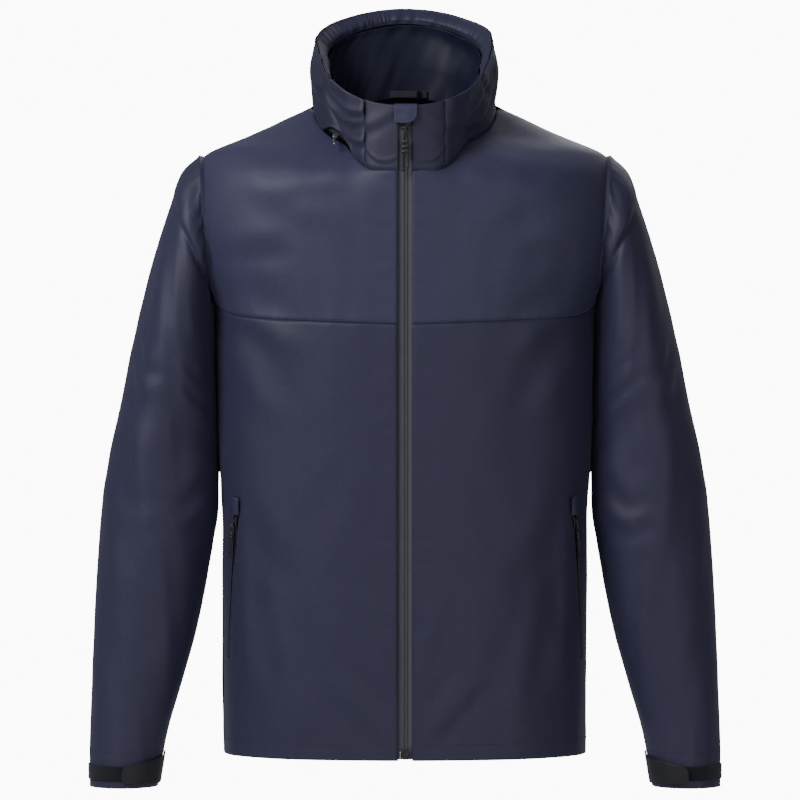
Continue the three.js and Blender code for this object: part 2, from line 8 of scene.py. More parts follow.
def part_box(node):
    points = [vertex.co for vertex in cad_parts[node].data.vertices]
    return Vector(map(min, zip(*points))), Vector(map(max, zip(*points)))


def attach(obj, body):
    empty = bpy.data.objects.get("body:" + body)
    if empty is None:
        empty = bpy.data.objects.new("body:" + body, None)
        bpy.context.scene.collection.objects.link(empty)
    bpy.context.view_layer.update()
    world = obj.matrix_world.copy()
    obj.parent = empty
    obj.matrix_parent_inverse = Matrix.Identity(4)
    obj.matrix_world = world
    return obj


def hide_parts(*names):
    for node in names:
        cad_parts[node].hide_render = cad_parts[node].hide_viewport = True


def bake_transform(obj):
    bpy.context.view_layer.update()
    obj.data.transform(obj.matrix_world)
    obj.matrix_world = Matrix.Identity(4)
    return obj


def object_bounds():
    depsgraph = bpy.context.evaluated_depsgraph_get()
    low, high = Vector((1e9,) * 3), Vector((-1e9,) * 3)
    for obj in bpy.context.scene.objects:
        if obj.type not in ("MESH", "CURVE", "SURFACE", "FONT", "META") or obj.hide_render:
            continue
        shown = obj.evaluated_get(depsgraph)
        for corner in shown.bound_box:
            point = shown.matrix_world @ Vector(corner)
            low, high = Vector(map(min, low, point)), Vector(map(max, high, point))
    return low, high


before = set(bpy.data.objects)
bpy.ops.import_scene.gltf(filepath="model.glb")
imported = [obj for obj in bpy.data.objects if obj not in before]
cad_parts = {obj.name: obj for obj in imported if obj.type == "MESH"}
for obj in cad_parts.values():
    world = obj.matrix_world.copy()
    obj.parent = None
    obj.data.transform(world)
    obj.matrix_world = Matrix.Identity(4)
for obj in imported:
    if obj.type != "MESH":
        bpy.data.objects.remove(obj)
cad_low, cad_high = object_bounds()

# ---- Driving dimensions, in millimetres above the cuff ends, as the part is drawn ----
HEM_Z = 39
FRONT_Y = -130
YOKE_Z = 530
YOKE_SIDE_RISE = 36
ARMPIT = {"middle": 641, "half_height": 86, "half_depth": 72}
SHOULDER_TIP_Z = 727
NECK_SIDE_Z = 786.7
HEM_DEPTH = 27
ZIP_HALF = 8
SECTION_POWER = 2.4
BACK_SEAM_Z = YOKE_Z + YOKE_SIDE_RISE

# Body sections: height, half width, front depth, back depth and where the side line stands.
BODY_LEVELS = np.array([
    (39, 209, 135, 128, 5), (200, 210, 136, 133, 6), (400, 214, 137, 140, 7),
    (540, 216, 138, 146, 8), (600, 240, 138.5, 147, 8.5), (640, 250, 139, 145, 9),
    (700, 243, 140, 133, 10), (726, 234, 105, 125, 10), (750, 184, 68.5, 118, 10),
    (770, 139, 38, 111, 10), (788, 104, 12, 103, 10), (807, 94, 5, 94, 10),
    (818, 84, 5, 88, 10), (834, 60, 5, 76, 10),
], dtype=float)

# Sleeve rings: outer point x and z, inner point x and z, middle y and half depth.
SLEEVE_RINGS = np.array([
    (237.5, 728, 222.5, 556, 8, 72), (258, 708, 222, 537, 8, 79), (272, 668, 221.5, 508, 8, 83),
    (290, 612, 221, 480, 7, 86), (309, 535, 220.5, 455, 6, 86), (327, 448, 220, 425, 4, 82),
    (348, 340, 218.5, 335, -2, 74), (354, 270, 226, 255, -8, 68), (358, 190, 240, 180, -16, 60),
    (360, 130, 255.5, 125, -23, 54), (361, 70, 272, 68, -29, 49), (361.5, 3, 283, 3, -35, 45),
], dtype=float)
SLEEVE_ROWS = np.column_stack([np.linspace(0, 1, len(SLEEVE_RINGS)), SLEEVE_RINGS])

NECK_TILT = math.radians(31)
NECK_FRONT_Z = 704
NECK_RADIUS, NECK_ALONG, NECK_BOW = 105, 147, 42
RIM_RADIUS, RIM_BOW, RIM_RISE = 103, 44, 72
COLLAR_SEAM_X = 46
HOOD_ZIP_START = math.radians(45)
CLOTH, LINING = 1.2, 0.6
# How far the inner layers lie under the shell.
FACING_DEPTH, BAG_DEPTH, LINING_DEPTH = 3.7, 4.6, 9.2

# The part's own origin, found from the two planes that the front and the hem lie in.
ORIGIN_Y = FRONT_Y - 1000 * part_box("left_front_body")[0][1]
ORIGIN_Z = HEM_Z - 1000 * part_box("back_body")[0][2]


def metres(points):
    """Places in the frame for points in the part's millimetres."""
    return (np.asarray(points, dtype=float) - (0, ORIGIN_Y, ORIGIN_Z)) / 1000


def columns(*parts):
    """Points, one to a row, from their coordinates."""
    return np.column_stack(parts)


def mix(a, b, t):
    return a + (b - a) * t


def smooth(low, high, value):
    t = np.clip((value - low) / (high - low), 0, 1)
    return t * t * (3 - 2 * t)


def bump(value, middle, width):
    return np.exp(-((value - middle) / width) ** 2)


def rows_at(rows, key):
    """Smooth curves through the rows, one array for each column after the first."""
    x = rows[:, 0]
    key = np.asarray(key, dtype=float)
    i = np.clip(np.searchsorted(x, key) - 1, 0, len(x) - 2)
    length = x[i + 1] - x[i]
    t = (key - x[i]) / length
    found = []
    for column in rows[:, 1:].T:
        step = np.diff(column) / np.diff(x)
        both = step[:-1] * step[1:]
        inner = np.where(both <= 0, 0, 2 * both / (step[:-1] + step[1:] + 1e-12))
        slope = np.concatenate([step[:1], inner, step[-1:]])
        start = column[i] * (1 + 2 * t) * (1 - t) ** 2 + slope[i] * length * t * (1 - t) ** 2
        end = column[i + 1] * t * t * (3 - 2 * t) - slope[i + 1] * length * t * t * (1 - t)
        found.append(start + end)
    return found


# ---- Surfaces of the body, collar and sleeves ----
def body_section(facing, z):
    half_width, front, back, middle = rows_at(BODY_LEVELS, z)
    return half_width, front if facing < 0 else back, middle


def body_fullness(facing, p):
    half_width, reach, middle = body_section(facing, p[:, 2])
    across, deep = p[:, 0] / half_width, (p[:, 1] - middle) / reach
    return np.abs(across) ** SECTION_POWER + np.abs(deep) ** SECTION_POWER


def unit(vectors):
    return vectors / np.maximum(np.linalg.norm(vectors, axis=1, keepdims=True), 1e-9)


def body_normal(facing, p):
    grad = [body_fullness(facing, p + step) - body_fullness(facing, p - step) for step in 0.02 * np.eye(3)]
    return unit(np.column_stack(grad))


def body_base(facing, angle, z):
    half_width, reach, middle = body_section(facing, z)
    bow = 2 / SECTION_POWER
    x = half_width * np.sign(angle) * np.abs(np.sin(angle)) ** bow
    y = middle + facing * reach * np.abs(np.cos(angle)) ** bow
    p = columns(x, y, z)
    return p, body_normal(facing, p)


def angle_at_x(facing, x, z):
    half_width = body_section(facing, z)[0]
    return np.sign(x) * np.arcsin(np.clip(np.abs(x) / half_width, 0, 1) ** (SECTION_POWER / 2))


def front_angle(x, z):
    """The angles of a line up the front that stays x from the middle."""
    return angle_at_x(-1, np.full_like(z, x), z)


def armhole_half_depth(z):
    height = (z - ARMPIT["middle"]) / ARMPIT["half_height"]
    return ARMPIT["half_depth"] * np.sqrt(np.clip(1 - height * height, 0, None))


def side_angle(facing, z):
    reach = body_section(facing, z)[1]
    away = np.maximum(0.02, armhole_half_depth(z))
    return np.arccos(np.clip(away / reach, 0, 1) ** (SECTION_POWER / 2))


def collar_base(angle, up):
    turn = np.abs(np.arctan2(np.sin(angle), np.cos(angle)))
    neck = NECK_RADIUS + NECK_BOW * smooth(math.radians(-45), math.radians(-12), -turn)
    rim = RIM_RADIUS + RIM_BOW * np.cos(np.minimum(math.pi / 2, 1.125 * turn)) ** 2
    fullness = 6 * smooth(0.8, 2, turn) * np.sin(math.pi * np.clip(up, 0, 1)) ** 2
    radius = mix(neck, rim, up) + fullness
    along = NECK_ALONG - radius * np.cos(angle)
    lift = up * (RIM_RISE + 8 * np.sin(turn) ** 6)
    return columns(
        radius * np.sin(angle),
        FRONT_Y + along * math.cos(NECK_TILT),
        NECK_FRONT_Z + along * math.sin(NECK_TILT) + lift,
    )


def sleeve_base(angle, along):
    out_x, out_z, in_x, in_z, middle_y, half_depth = rows_at(SLEEVE_ROWS, along)
    side = np.sin(angle) / 2
    return columns(
        (out_x + in_x) / 2 + (out_x - in_x) * side,
        middle_y - half_depth * np.cos(angle),
        (out_z + in_z) / 2 + (out_z - in_z) * side,
    )


def surface_normal(surface, a, b, sign):
    step = 1e-3
    along_a = surface(a + step, b) - surface(a - step, b)
    along_b = surface(a, b + step) - surface(a, b - step)
    return unit(np.cross(along_a, along_b)) * sign


def collar_normal(angle, up):
    return surface_normal(collar_base, angle, up, 1)


# ---- How the cloth lies: heights above the plain surface, in millimetres ----
def noise_at(p, scale, seed):
    shift = Vector((seed * 17.3, seed * 5.1, seed * 9.7))
    sx, sy, sz = scale
    return np.array([noise.noise(Vector((x / sx, y / sy, z / sz)) + shift) for x, y, z in p])


def fold(p, start, end, width, height):
    """A soft ridge over the line from start to end in the front view, with a hollow beside it."""
    ax, az = start
    bx, bz = end
    length = math.hypot(bx - ax, bz - az)
    dx, dz = (bx - ax) / length, (bz - az) / length
    along = ((p[:, 0] - ax) * dx + (p[:, 2] - az) * dz) / length
    across = (p[:, 0] - ax) * -dz + (p[:, 2] - az) * dx
    taper = smooth(-0.15, 0.3, along) * smooth(-1.15, -0.7, -along)
    return height * taper * (bump(across, 0, width) - 0.6 * bump(across, -1.7 * width, width))


FRONT_FOLDS = [
    # start x and z, end x and z, width, height: mirrored on both fronts
    ((205, 560), (120, 500), 16, 2.4),
    ((208, 600), (130, 610), 15, -1.8),
    ((205, 520), (150, 420), 18, 2.2),
    ((208, 340), (150, 240), 20, -2.2),
    ((205, 250), (170, 110), 16, 2.4),
    ((150, 200), (120, 70), 18, 1.6),
    ((24, 62), (80, 130), 9, 1.5),
    ((20, 90), (60, 150), 8, -1.2),
    ((16, 120), (40, 230), 10, 1.1),
    ((60, 700), (150, 690), 14, 1.6),
    ((90, 650), (180, 700), 16, 1.5),
]
BACK_FOLDS = [
    ((200, 560), (90, 500), 18, 2.6),
    ((205, 600), (110, 620), 16, -2.2),
    ((200, 480), (120, 380), 20, 2.4),
    ((205, 320), (110, 200), 22, -2.4),
    ((150, 200), (130, 60), 20, 2.2),
    ((40, 520), (60, 300), 24, 1.6),
]


def softened_chest(z):
    """What the front's reach gains so that the chest runs into the shoulder without a crest."""
    levels = np.arange(480.0, 790.0, 2.0)
    reach = rows_at(BODY_LEVELS, levels)[1]
    near = np.exp(-((levels[:, None] - levels[None, :]) / 26) ** 2)
    soft = near @ reach / near.sum(axis=1)
    return np.interp(z, levels, (soft - reach) * smooth(560, 640, levels) * smooth(-775, -705, -levels))


def chest_shift(angle, p):
    """How far forward the front's cloth goes for the softened chest."""
    beside_neck = smooth(14, 70, np.abs(p[:, 0]) - 60 * smooth(706, 745, p[:, 2]))
    return softened_chest(p[:, 2]) * beside_neck * np.abs(np.cos(angle)) ** (2 / SECTION_POWER)


def pocket_nearness(p):
    """One at the hand pocket's zip, falling to nothing a few centimetres away."""
    top, foot = 325, 140
    down = np.clip((top - p[:, 2]) / (top - foot), 0, 1)
    beyond = np.maximum(0, np.maximum(p[:, 2] - top, foot - p[:, 2]))
    away = np.hypot(p[:, 0] - mix(191.5, 202, down), beyond)
    return smooth(-26, -8, -away)


def yoke_seam_z(x):
    across = np.clip((np.abs(x) - ZIP_HALF) / 205, 0, 1)
    return YOKE_Z + 11 * across + (YOKE_SIDE_RISE - 11) * across ** 7


def body_lie(facing, p):
    x = np.abs(p[:, 0])
    side = columns(x, p[:, 1], p[:, 2])
    calm = smooth(ZIP_HALF, 40, x) if facing < 0 else np.ones(len(p))
    height = 3.2 * noise_at(p, (110, 110, 260), 1) + 1.1 * noise_at(p, (30, 30, 60), 2)
    height *= calm
    for start, end, width, tall in FRONT_FOLDS if facing < 0 else BACK_FOLDS:
        height += 1.3 * fold(side, start, end, width, tall)
    if facing < 0:
        height *= 1 - pocket_nearness(side)
    at_side = smooth(0.93, 1, x / body_section(facing, p[:, 2])[0])
    height += 1.6 * at_side * smooth(300, 380, p[:, 2]) * smooth(-625, -580, -p[:, 2])
    seam_z = yoke_seam_z(p[:, 0]) if facing < 0 else BACK_SEAM_Z
    below = bump(p[:, 2], seam_z, 9)
    height += 0.9 * below * noise_at(p, (11, 11, 60), 3) * calm
    hem = bump(p[:, 2], HEM_Z + HEM_DEPTH, 12)
    height += 0.8 * hem * noise_at(p, (14, 14, 80), 4) * calm
    if facing < 0:
        beside = bump(x, ZIP_HALF + 12, 12)
        height += 0.7 * beside * noise_at(p, (60, 60, 13), 5)
    return height


def seam_dip(edge):
    """A sewn edge rolls under its neighbour."""
    return -0.9 * np.exp(-(edge / 1.6) ** 2)


def on_body(facing, angle, z, lift=0.0):
    p, n = body_base(facing, angle, z)
    lying = p + n * (body_lie(facing, p) + lift)[:, None]
    if facing < 0:
        lying[:, 1] -= chest_shift(angle, p)
    return lying


def swag(angle, up, middle, spread, high, low, width, height):
    """A curved fold that hangs across the collar, lowest at its middle."""
    aside = (angle - middle) / spread
    line = low + (high - low) * aside * aside
    return height * bump(aside, 0, 1) * (bump(up, line, width) - 0.7 * bump(up, line - 1.6 * width, width))


# Swags: middle angle, spread, height at the ends and in the middle, width, how far the fold stands out.
SWAGS = [
    (-0.62, 0.42, 0.95, 0.72, 0.07, 3.4), (-0.72, 0.40, 0.72, 0.47, 0.07, 3.6),
    (-0.55, 0.34, 0.50, 0.26, 0.06, 2.6), (0.62, 0.45, 0.80, 0.52, 0.10, 2.4),
    (0.85, 0.40, 0.45, 0.28, 0.09, 2.6), (1.25, 0.30, 0.9, 0.6, 0.09, 2.2),
    (-1.35, 0.36, 0.8, 0.55, 0.09, 2.6), (-0.17, 0.12, 0.40, 0.28, 0.05, 1.3),
    (-0.17, 0.12, 0.24, 0.13, 0.04, 1.3), (0.17, 0.12, 0.22, 0.12, 0.04, 1.2),
    (-2.3, 0.5, 0.7, 0.4, 0.1, 3.0), (2.4, 0.5, 0.75, 0.45, 0.1, 3.0), (3.0, 0.5, 0.5, 0.25, 0.09, 2.6),
]


def collar_lie(angle, up, p):
    wrapped = np.arctan2(np.sin(angle), np.cos(angle))
    turn = np.abs(wrapped)
    away = smooth(0.1, 0.5, turn)
    height = 3.0 * noise_at(p, (40, 40, 50), 7) * away
    gather = smooth(0.5, 1.0, up)
    height += 1.6 * gather * away * noise_at(p, (12, 12, 60), 8)
    for numbers in SWAGS:
        height += swag(wrapped, up, *numbers)
    return height * smooth(-0.02, 0.12, up)


def on_collar(angle, up, lift=0.0):
    p = collar_base(angle, up)
    n = collar_normal(angle, up)
    return p + n * (collar_lie(angle, up, p) + lift)[:, None]


# The line down the front of the shoulder where the hanging sleeve folds over: height and distance out.
CREASE_LINE = np.array([
    (540, 212), (554, 215), (576, 218), (592, 225), (612, 234.5), (653, 255), (688, 266),
])


def shoulder_crease(angle, p):
    out = np.abs(p[:, 0]) - np.interp(p[:, 2], CREASE_LINE[:, 0], CREASE_LINE[:, 1])
    there = smooth(520, 560, p[:, 2]) * smooth(-712, -680, -p[:, 2]) * smooth(-0.1, 0.35, np.cos(angle))
    inside = smooth(-46, 0, out) * smooth(-5, -0.5, -out)
    trough = bump(out, 5, 5)
    return there * (4.2 * inside - 2.4 * trough)


def sleeve_lie(angle, along, p):
    length = along * 740

    def turned(by, radius):
        return columns(radius * np.sin(angle + by), radius * np.cos(angle + by), length)
    facing_out = 0.2 + 0.8 * np.cos(angle) ** 2
    height = 3.5 * noise_at(turned(0, 60), (60, 60, 170), 11)
    height += 1.3 * noise_at(p, (26, 26, 40), 12)
    head = np.exp(-length / 34)
    height += 3.0 * head * noise_at(turned(0, 80), (10, 10, 50), 13)
    wander = 34 * noise_at(turned(0, 60), (45, 45, 80), 15)
    outer = bump(along, 0.47, 0.09) * smooth(-0.4, 0.8, np.sin(angle))
    height += 2.0 * outer * np.sin((length + 30 * np.sin(angle) + wander) / 7.5)
    inner = bump(along, 0.5, 0.12) * smooth(-0.3, 0.8, -np.sin(angle))
    height += 2.4 * inner * np.sin((length + 26 * np.cos(angle) + wander) / 7.0)
    height += 4.2 * smooth(0.08, 0.3, along) * noise_at(turned(length / 190, 60), (30, 30, 210), 14)
    height += shoulder_crease(angle, p)
    height *= facing_out
    height += 3.2 * smooth(0.4, 1, -np.sin(angle)) * smooth(0.0, 0.06, along) * smooth(-0.66, -0.54, -along)
    return height * smooth(0, 0.015, along) * smooth(-1.0, -0.95, -along)


def on_sleeve(angle, along, lift=0.0):
    p = sleeve_base(angle, along)
    n = surface_normal(sleeve_base, angle, along, -1)
    return p + n * (sleeve_lie(angle, along, p) + lift)[:, None]


# ---- Cloth pieces: a grid bent to its place ----
def new_object(name, bm, smooth_faces=True):
    mesh = bpy.data.meshes.new(name)
    for face in bm.faces:
        face.smooth = smooth_faces
    bm.to_mesh(mesh)
    bm.free()
    obj = bpy.data.objects.new(name, mesh)
    bpy.context.collection.objects.link(obj)
    return obj


def cloth_piece(name, grid, place, material, mirrored=False, closed=False, thick=CLOTH):
    """A grid of squares, (across, up), whose points place(u, v) gives in millimetres."""
    across, up = grid
    bm = bmesh.new()
    bmesh.ops.create_grid(bm, x_segments=across, y_segments=up, size=0.5)
    uv = np.array([(v.co.x + 0.5, v.co.y + 0.5) for v in bm.verts])
    points = metres(place(uv[:, 0], uv[:, 1]))
    for vert, co in zip(bm.verts, points):
        vert.co = (-co[0], co[1], co[2]) if mirrored else co
    if closed:
        bmesh.ops.remove_doubles(bm, verts=bm.verts, dist=2e-5)
    if mirrored:
        bmesh.ops.reverse_faces(bm, faces=bm.faces)
    obj = new_object(name, bm)
    obj.data.materials.append(material)
    wall = obj.modifiers.new("Thickness", "SOLIDIFY")
    wall.thickness = thick / 1000
    wall.offset = -1
    return obj


# ---- Materials ----
def node_group(name, inputs, outputs):
    group = bpy.data.node_groups.new(name, "ShaderNodeTree")
    for label, kind, value in inputs:
        item = group.interface.new_socket(label, in_out="INPUT", socket_type=kind)
        if value is not None:
            item.default_value = value
    for label, kind in outputs:
        group.interface.new_socket(label, in_out="OUTPUT", socket_type=kind)
    start = group.nodes.new("NodeGroupInput")
    end = group.nodes.new("NodeGroupOutput")
    return group, start, end


def math_node(tree, operation, a, b=None):
    node = tree.nodes.new("ShaderNodeMath")
    node.operation = operation
    for socket, value in zip(node.inputs, (a, b)):
        if value is None:
            continue
        if isinstance(value, (int, float)):
            socket.default_value = value
        else:
            tree.links.new(value, socket)
    return node.outputs[0]


def weave_group():
    """Fine over-and-under threads with uneven yarn."""
    group, start, end = node_group(
        "weave",
        [("Vector", "NodeSocketVector", None), ("Thread", "NodeSocketFloat", 1600.0),
         ("Dark", "NodeSocketColor", None), ("Light", "NodeSocketColor", None)],
        [("Height", "NodeSocketFloat"), ("Colour", "NodeSocketColor")],
    )
    split = group.nodes.new("ShaderNodeSeparateXYZ")
    group.links.new(start.outputs["Vector"], split.inputs[0])
    flat = math_node(group, "ADD", split.outputs[0], split.outputs[1])
    warp = math_node(group, "SINE", math_node(group, "MULTIPLY", flat, start.outputs["Thread"]))
    weft = math_node(group, "SINE", math_node(group, "MULTIPLY", split.outputs[2], start.outputs["Thread"]))
    over = math_node(group, "MULTIPLY", warp, weft)
    slub = group.nodes.new("ShaderNodeTexNoise")
    slub.inputs["Scale"].default_value = 220
    group.links.new(start.outputs["Vector"], slub.inputs["Vector"])
    uneven = math_node(group, "MULTIPLY", slub.outputs["Fac"], 0.8)
    group.links.new(math_node(group, "ADD", over, uneven), end.inputs["Height"])
    blend = group.nodes.new("ShaderNodeMixRGB")
    mixed = (slub.outputs["Fac"], start.outputs["Dark"], start.outputs["Light"])
    for socket, source in zip(blend.inputs, mixed):
        group.links.new(source, socket)
    group.links.new(blend.outputs[0], end.inputs["Colour"])
    return group


def crinkle_group():
    """Small creases left in coated cloth by handling."""
    group, start, end = node_group(
        "crinkle",
        [("Vector", "NodeSocketVector", None), ("Scale", "NodeSocketFloat", 40.0)],
        [("Height", "NodeSocketFloat")],
    )
    broad = group.nodes.new("ShaderNodeTexNoise")
    broad.inputs["Detail"].default_value = 3
    broad.inputs["Roughness"].default_value = 0.6
    broad.inputs["Distortion"].default_value = 0.6
    group.links.new(start.outputs["Vector"], broad.inputs["Vector"])
    group.links.new(start.outputs["Scale"], broad.inputs["Scale"])
    ridge = math_node(group, "ABSOLUTE", math_node(group, "SUBTRACT", broad.outputs["Fac"], 0.5))
    group.links.new(math_node(group, "MULTIPLY", ridge, -1.0), end.inputs["Height"])
    return group


def new_material(name, colour, rough, metallic=0.0):
    material = bpy.data.materials.new(name)
    material.use_nodes = True
    shader = material.node_tree.nodes["Principled BSDF"]
    shader.inputs["Base Color"].default_value = (*colour, 1)
    shader.inputs["Roughness"].default_value = rough
    shader.inputs["Metallic"].default_value = metallic
    return material, material.node_tree, shader


def cloth_material(name, colour, rough, sheen, thread, bump_size, crinkle_size, shine=0.4):
    material, tree, shader = new_material(name, colour, rough)
    shader.inputs["Specular IOR Level"].default_value = shine
    shader.inputs["Sheen Weight"].default_value = sheen
    shader.inputs["Sheen Roughness"].default_value = 0.45
    shader.inputs["Sheen Tint"].default_value = (0.62, 0.66, 0.85, 1)
    place = tree.nodes.new("ShaderNodeTexCoord")
    weave = tree.nodes.new("ShaderNodeGroup")
    weave.node_tree = WEAVE
    weave.inputs["Thread"].default_value = thread
    crinkle = tree.nodes.new("ShaderNodeGroup")
    crinkle.node_tree = CRINKLE
    for group in (weave, crinkle):
        tree.links.new(place.outputs["Object"], group.inputs["Vector"])
    for label, part in (("Dark", 1 - SHADE_VARIATION), ("Light", 1 + SHADE_VARIATION)):
        weave.inputs[label].default_value = (*[c * part for c in colour], 1)
    tree.links.new(weave.outputs["Colour"], shader.inputs["Base Color"])
    threads = tree.nodes.new("ShaderNodeBump")
    threads.inputs["Distance"].default_value = bump_size
    threads.inputs["Strength"].default_value = 0.5
    tree.links.new(weave.outputs["Height"], threads.inputs["Height"])
    creases = tree.nodes.new("ShaderNodeBump")
    creases.inputs["Distance"].default_value = crinkle_size
    creases.inputs["Strength"].default_value = 0.6
    tree.links.new(crinkle.outputs["Height"], creases.inputs["Height"])
    tree.links.new(threads.outputs[0], creases.inputs["Normal"])
    tree.links.new(creases.outputs[0], shader.inputs["Normal"])
    return material


SHADE_VARIATION = 0.16
WEAVE = weave_group()
CRINKLE = crinkle_group()
SHELL = cloth_material("shell_cloth", (0.0195, 0.0185, 0.050), 0.58, 0.10, 12000, 0.00003, 0.0006)
# Yoke cloth: the yoke's own slightly lighter tone. The chin guard wears it too, and there the lighter tone
# is a painted highlight for the light that falls on the guard.
YOKE_TONE_AND_GUARD_PAINTED_LIGHT = cloth_material("yoke_cloth", (0.027, 0.0265, 0.066), 0.58, 0.12, 12000, 0.00003, 0.0006)
TAB = cloth_material("tab_cloth", (0.006, 0.006, 0.011), 0.55, 0.05, 12000, 0.00003, 0.0004)
SATIN = cloth_material("lining_satin", (0.0085, 0.0095, 0.026), 0.5, 0.04, 14000, 0.00002, 0.0006, 0.16)
COLLAR = cloth_material("collar_cloth", (0.0155, 0.015, 0.041), 0.58, 0.09, 12000, 0.00003, 0.0006)
TAPE = cloth_material("zip_tape_cloth", (0.068, 0.073, 0.086), 0.8, 0.2, 6000, 0.00008, 0.0002)
TAPE_NAVY = cloth_material("navy_tape", (0.012, 0.013, 0.026), 0.75, 0.2, 6000, 0.00008, 0.0002)
THREAD_GREY = cloth_material("tape_thread", (0.030, 0.033, 0.040), 0.7, 0.2, 9000, 0.00004, 0.0001)
LOOP_PILE = cloth_material("hook_and_loop", (0.005, 0.0055, 0.009), 0.95, 0.15, 5000, 0.0005, 0.0004)


# ---- Camera, floor and light ----
def add_camera():
    data = bpy.data.cameras.new("camera")
    camera = bpy.data.objects.new("camera", data)
    bpy.context.collection.objects.link(camera)
    data.sensor_width = 36
    distance, width, height = 4750, 924, 444.7
    data.lens = 36 * distance / width
    data.clip_end = 100
    camera.location = metres([(-5.8, -distance, height)])[0]
    camera.rotation_euler = (math.pi / 2, 0, 0)
    bpy.context.scene.camera = camera


def add_floor():
    radius, clearance = 2.4, 0.32
    bm = bmesh.new()
    bmesh.ops.create_circle(bm, cap_ends=True, segments=64, radius=radius)
    bmesh.ops.translate(bm, verts=bm.verts, vec=(0, 0, cad_low[2] - clearance))
    floor = new_object("floor", bm)
    floor.data.materials.append(new_material("pale_floor", (0.86, 0.86, 0.86), 0.8)[0])


def add_light(name, place, size, power):
    data = bpy.data.lights.new(name, "AREA")
    data.shape = "SQUARE"
    data.size = size
    data.energy = power
    light = bpy.data.objects.new(name, data)
    bpy.context.collection.objects.link(light)
    centre = (cad_low + cad_high) / 2
    light.location = centre + Vector(place)
    light.rotation_mode = "QUATERNION"
    light.rotation_quaternion = (-Vector(place)).to_track_quat("-Z", "Y")


BACKDROP, DIM_LIGHT = 11.0, 0.17


def add_world():
    world = bpy.data.worlds.new("studio")
    world.use_nodes = True
    tree = world.node_tree
    background = tree.nodes["Background"]
    background.inputs[0].default_value = (1, 1, 1, 1)
    seen = tree.nodes.new("ShaderNodeLightPath").outputs["Is Camera Ray"]
    strength = math_node(tree, "ADD", math_node(tree, "MULTIPLY", seen, BACKDROP - DIM_LIGHT), DIM_LIGHT)
    tree.links.new(strength, background.inputs[1])
    bpy.context.scene.world = world


add_camera()
add_floor()
add_world()
add_light("key", (-1.35, -1.35, 1.45), 1.1, 52)
add_light("fill", (1.3, -2.8, 0.3), 1.8, 20)
add_light("rear", (0.8, 2.2, 1.6), 1.6, 24)


# ---- Shell panels: each gives the angle and height over its square of u and v ----
def patch(bottom, top, left, right):
    """Angles and heights over a square whose four sides are the given edges."""
    def place(u, v):
        zero, one = np.zeros(1), np.ones(1)
        corners = [f(t) for f in (bottom, top) for t in (zero, one)]
        low, high, west, east = bottom(u), top(u), left(v), right(v)
        found = []
        for k in (0, 1):
            straight = mix(mix(corners[0][k], corners[1][k], u), mix(corners[2][k], corners[3][k], u), v)
            found.append(mix(low[k], high[k], v) + mix(west[k], east[k], u) - straight)
        return found
    return place


def zip_edge(z):
    return front_angle(ZIP_HALF, z), z


def side_edge(facing, z, sign=1):
    return sign * side_angle(facing, z), z


def front_seam(u):
    z = YOKE_Z + 13 * u + (YOKE_SIDE_RISE - 13) * u ** 6
    return mix(zip_edge(z)[0], side_angle(-1, z), u), z


NECK_SIDE_ANGLE = math.radians(98.5)
ZIP_ANGLE = 0.0545


def neck_edge(facing, angle):
    p = collar_base(angle, np.zeros_like(angle))
    z = p[:, 2] - 1.0
    limit = side_angle(facing, z)
    turn = np.abs(np.arctan2(np.sin(angle), np.cos(angle)))
    from_ridge = smooth(0, math.radians(8), np.abs(turn - NECK_SIDE_ANGLE))
    nearest = np.clip(angle_at_x(facing, p[:, 0], z), -limit, limit)
    return mix(np.sign(p[:, 0]) * limit, nearest, from_ridge), z


def front_top(u):
    z = mix(NECK_SIDE_Z, SHOULDER_TIP_Z, (u - 0.5) * 2)
    ridge = side_edge(-1, np.clip(z, SHOULDER_TIP_Z, NECK_SIDE_Z))
    neck = neck_edge(-1, mix(ZIP_ANGLE, NECK_SIDE_ANGLE, np.clip(u * 2, 0, 1)))
    return [np.where(u > 0.5, ridge[k], neck[k]) for k in (0, 1)]


def back_top(u):
    from_side = np.minimum(u, 1 - u)
    side = np.where(u < 0.5, 1, -1)
    z = mix(SHOULDER_TIP_Z, NECK_SIDE_Z, np.clip(from_side * 4, 0, 1))
    ridge = side_edge(1, z)
    across = np.clip((u - 0.25) * 2, 0, 1)
    neck = neck_edge(1, mix(NECK_SIDE_ANGLE, 2 * math.pi - NECK_SIDE_ANGLE, across))
    return [np.where(from_side < 0.25, side * ridge[0], neck[0]), np.where(from_side < 0.25, z, neck[1])]


def last_z(edge, t):
    return edge(np.full(1, float(t)))[1][0]


FRONT_YOKE = patch(
    front_seam, front_top,
    lambda v: zip_edge(mix(last_z(front_seam, 0), last_z(front_top, 0), v)),
    lambda v: side_edge(-1, mix(last_z(front_seam, 1), SHOULDER_TIP_Z, v)),
)
FRONT_BODY = patch(
    lambda u: (mix(zip_edge(0 * u + HEM_Z)[0], side_angle(-1, 0 * u + HEM_Z), u), 0 * u + HEM_Z),
    front_seam,
    lambda v: zip_edge(mix(HEM_Z, last_z(front_seam, 0), v)),
    lambda v: side_edge(-1, mix(HEM_Z, last_z(front_seam, 1), v)),
)


def level_edge(z):
    return lambda u: (mix(1, -1, u) * side_angle(1, 0 * u + z), 0 * u + z)


def back_sides(low, high):
    return (
        lambda v: side_edge(1, mix(low, high, v)),
        lambda v: side_edge(1, mix(low, high, v), -1),
    )


BACK_YOKE = patch(level_edge(BACK_SEAM_Z), back_top, *back_sides(BACK_SEAM_Z, SHOULDER_TIP_Z))
BACK_BODY = patch(level_edge(HEM_Z), level_edge(BACK_SEAM_Z), *back_sides(HEM_Z, BACK_SEAM_Z))


def edge_distance(u, v, width, height, sewn):
    """Millimetres from the nearest sewn edge of a panel about width by height."""
    gaps = {"left": u * width, "right": (1 - u) * width, "bottom": v * height, "top": (1 - v) * height}
    return np.min([gaps[side] for side in sewn], axis=0)


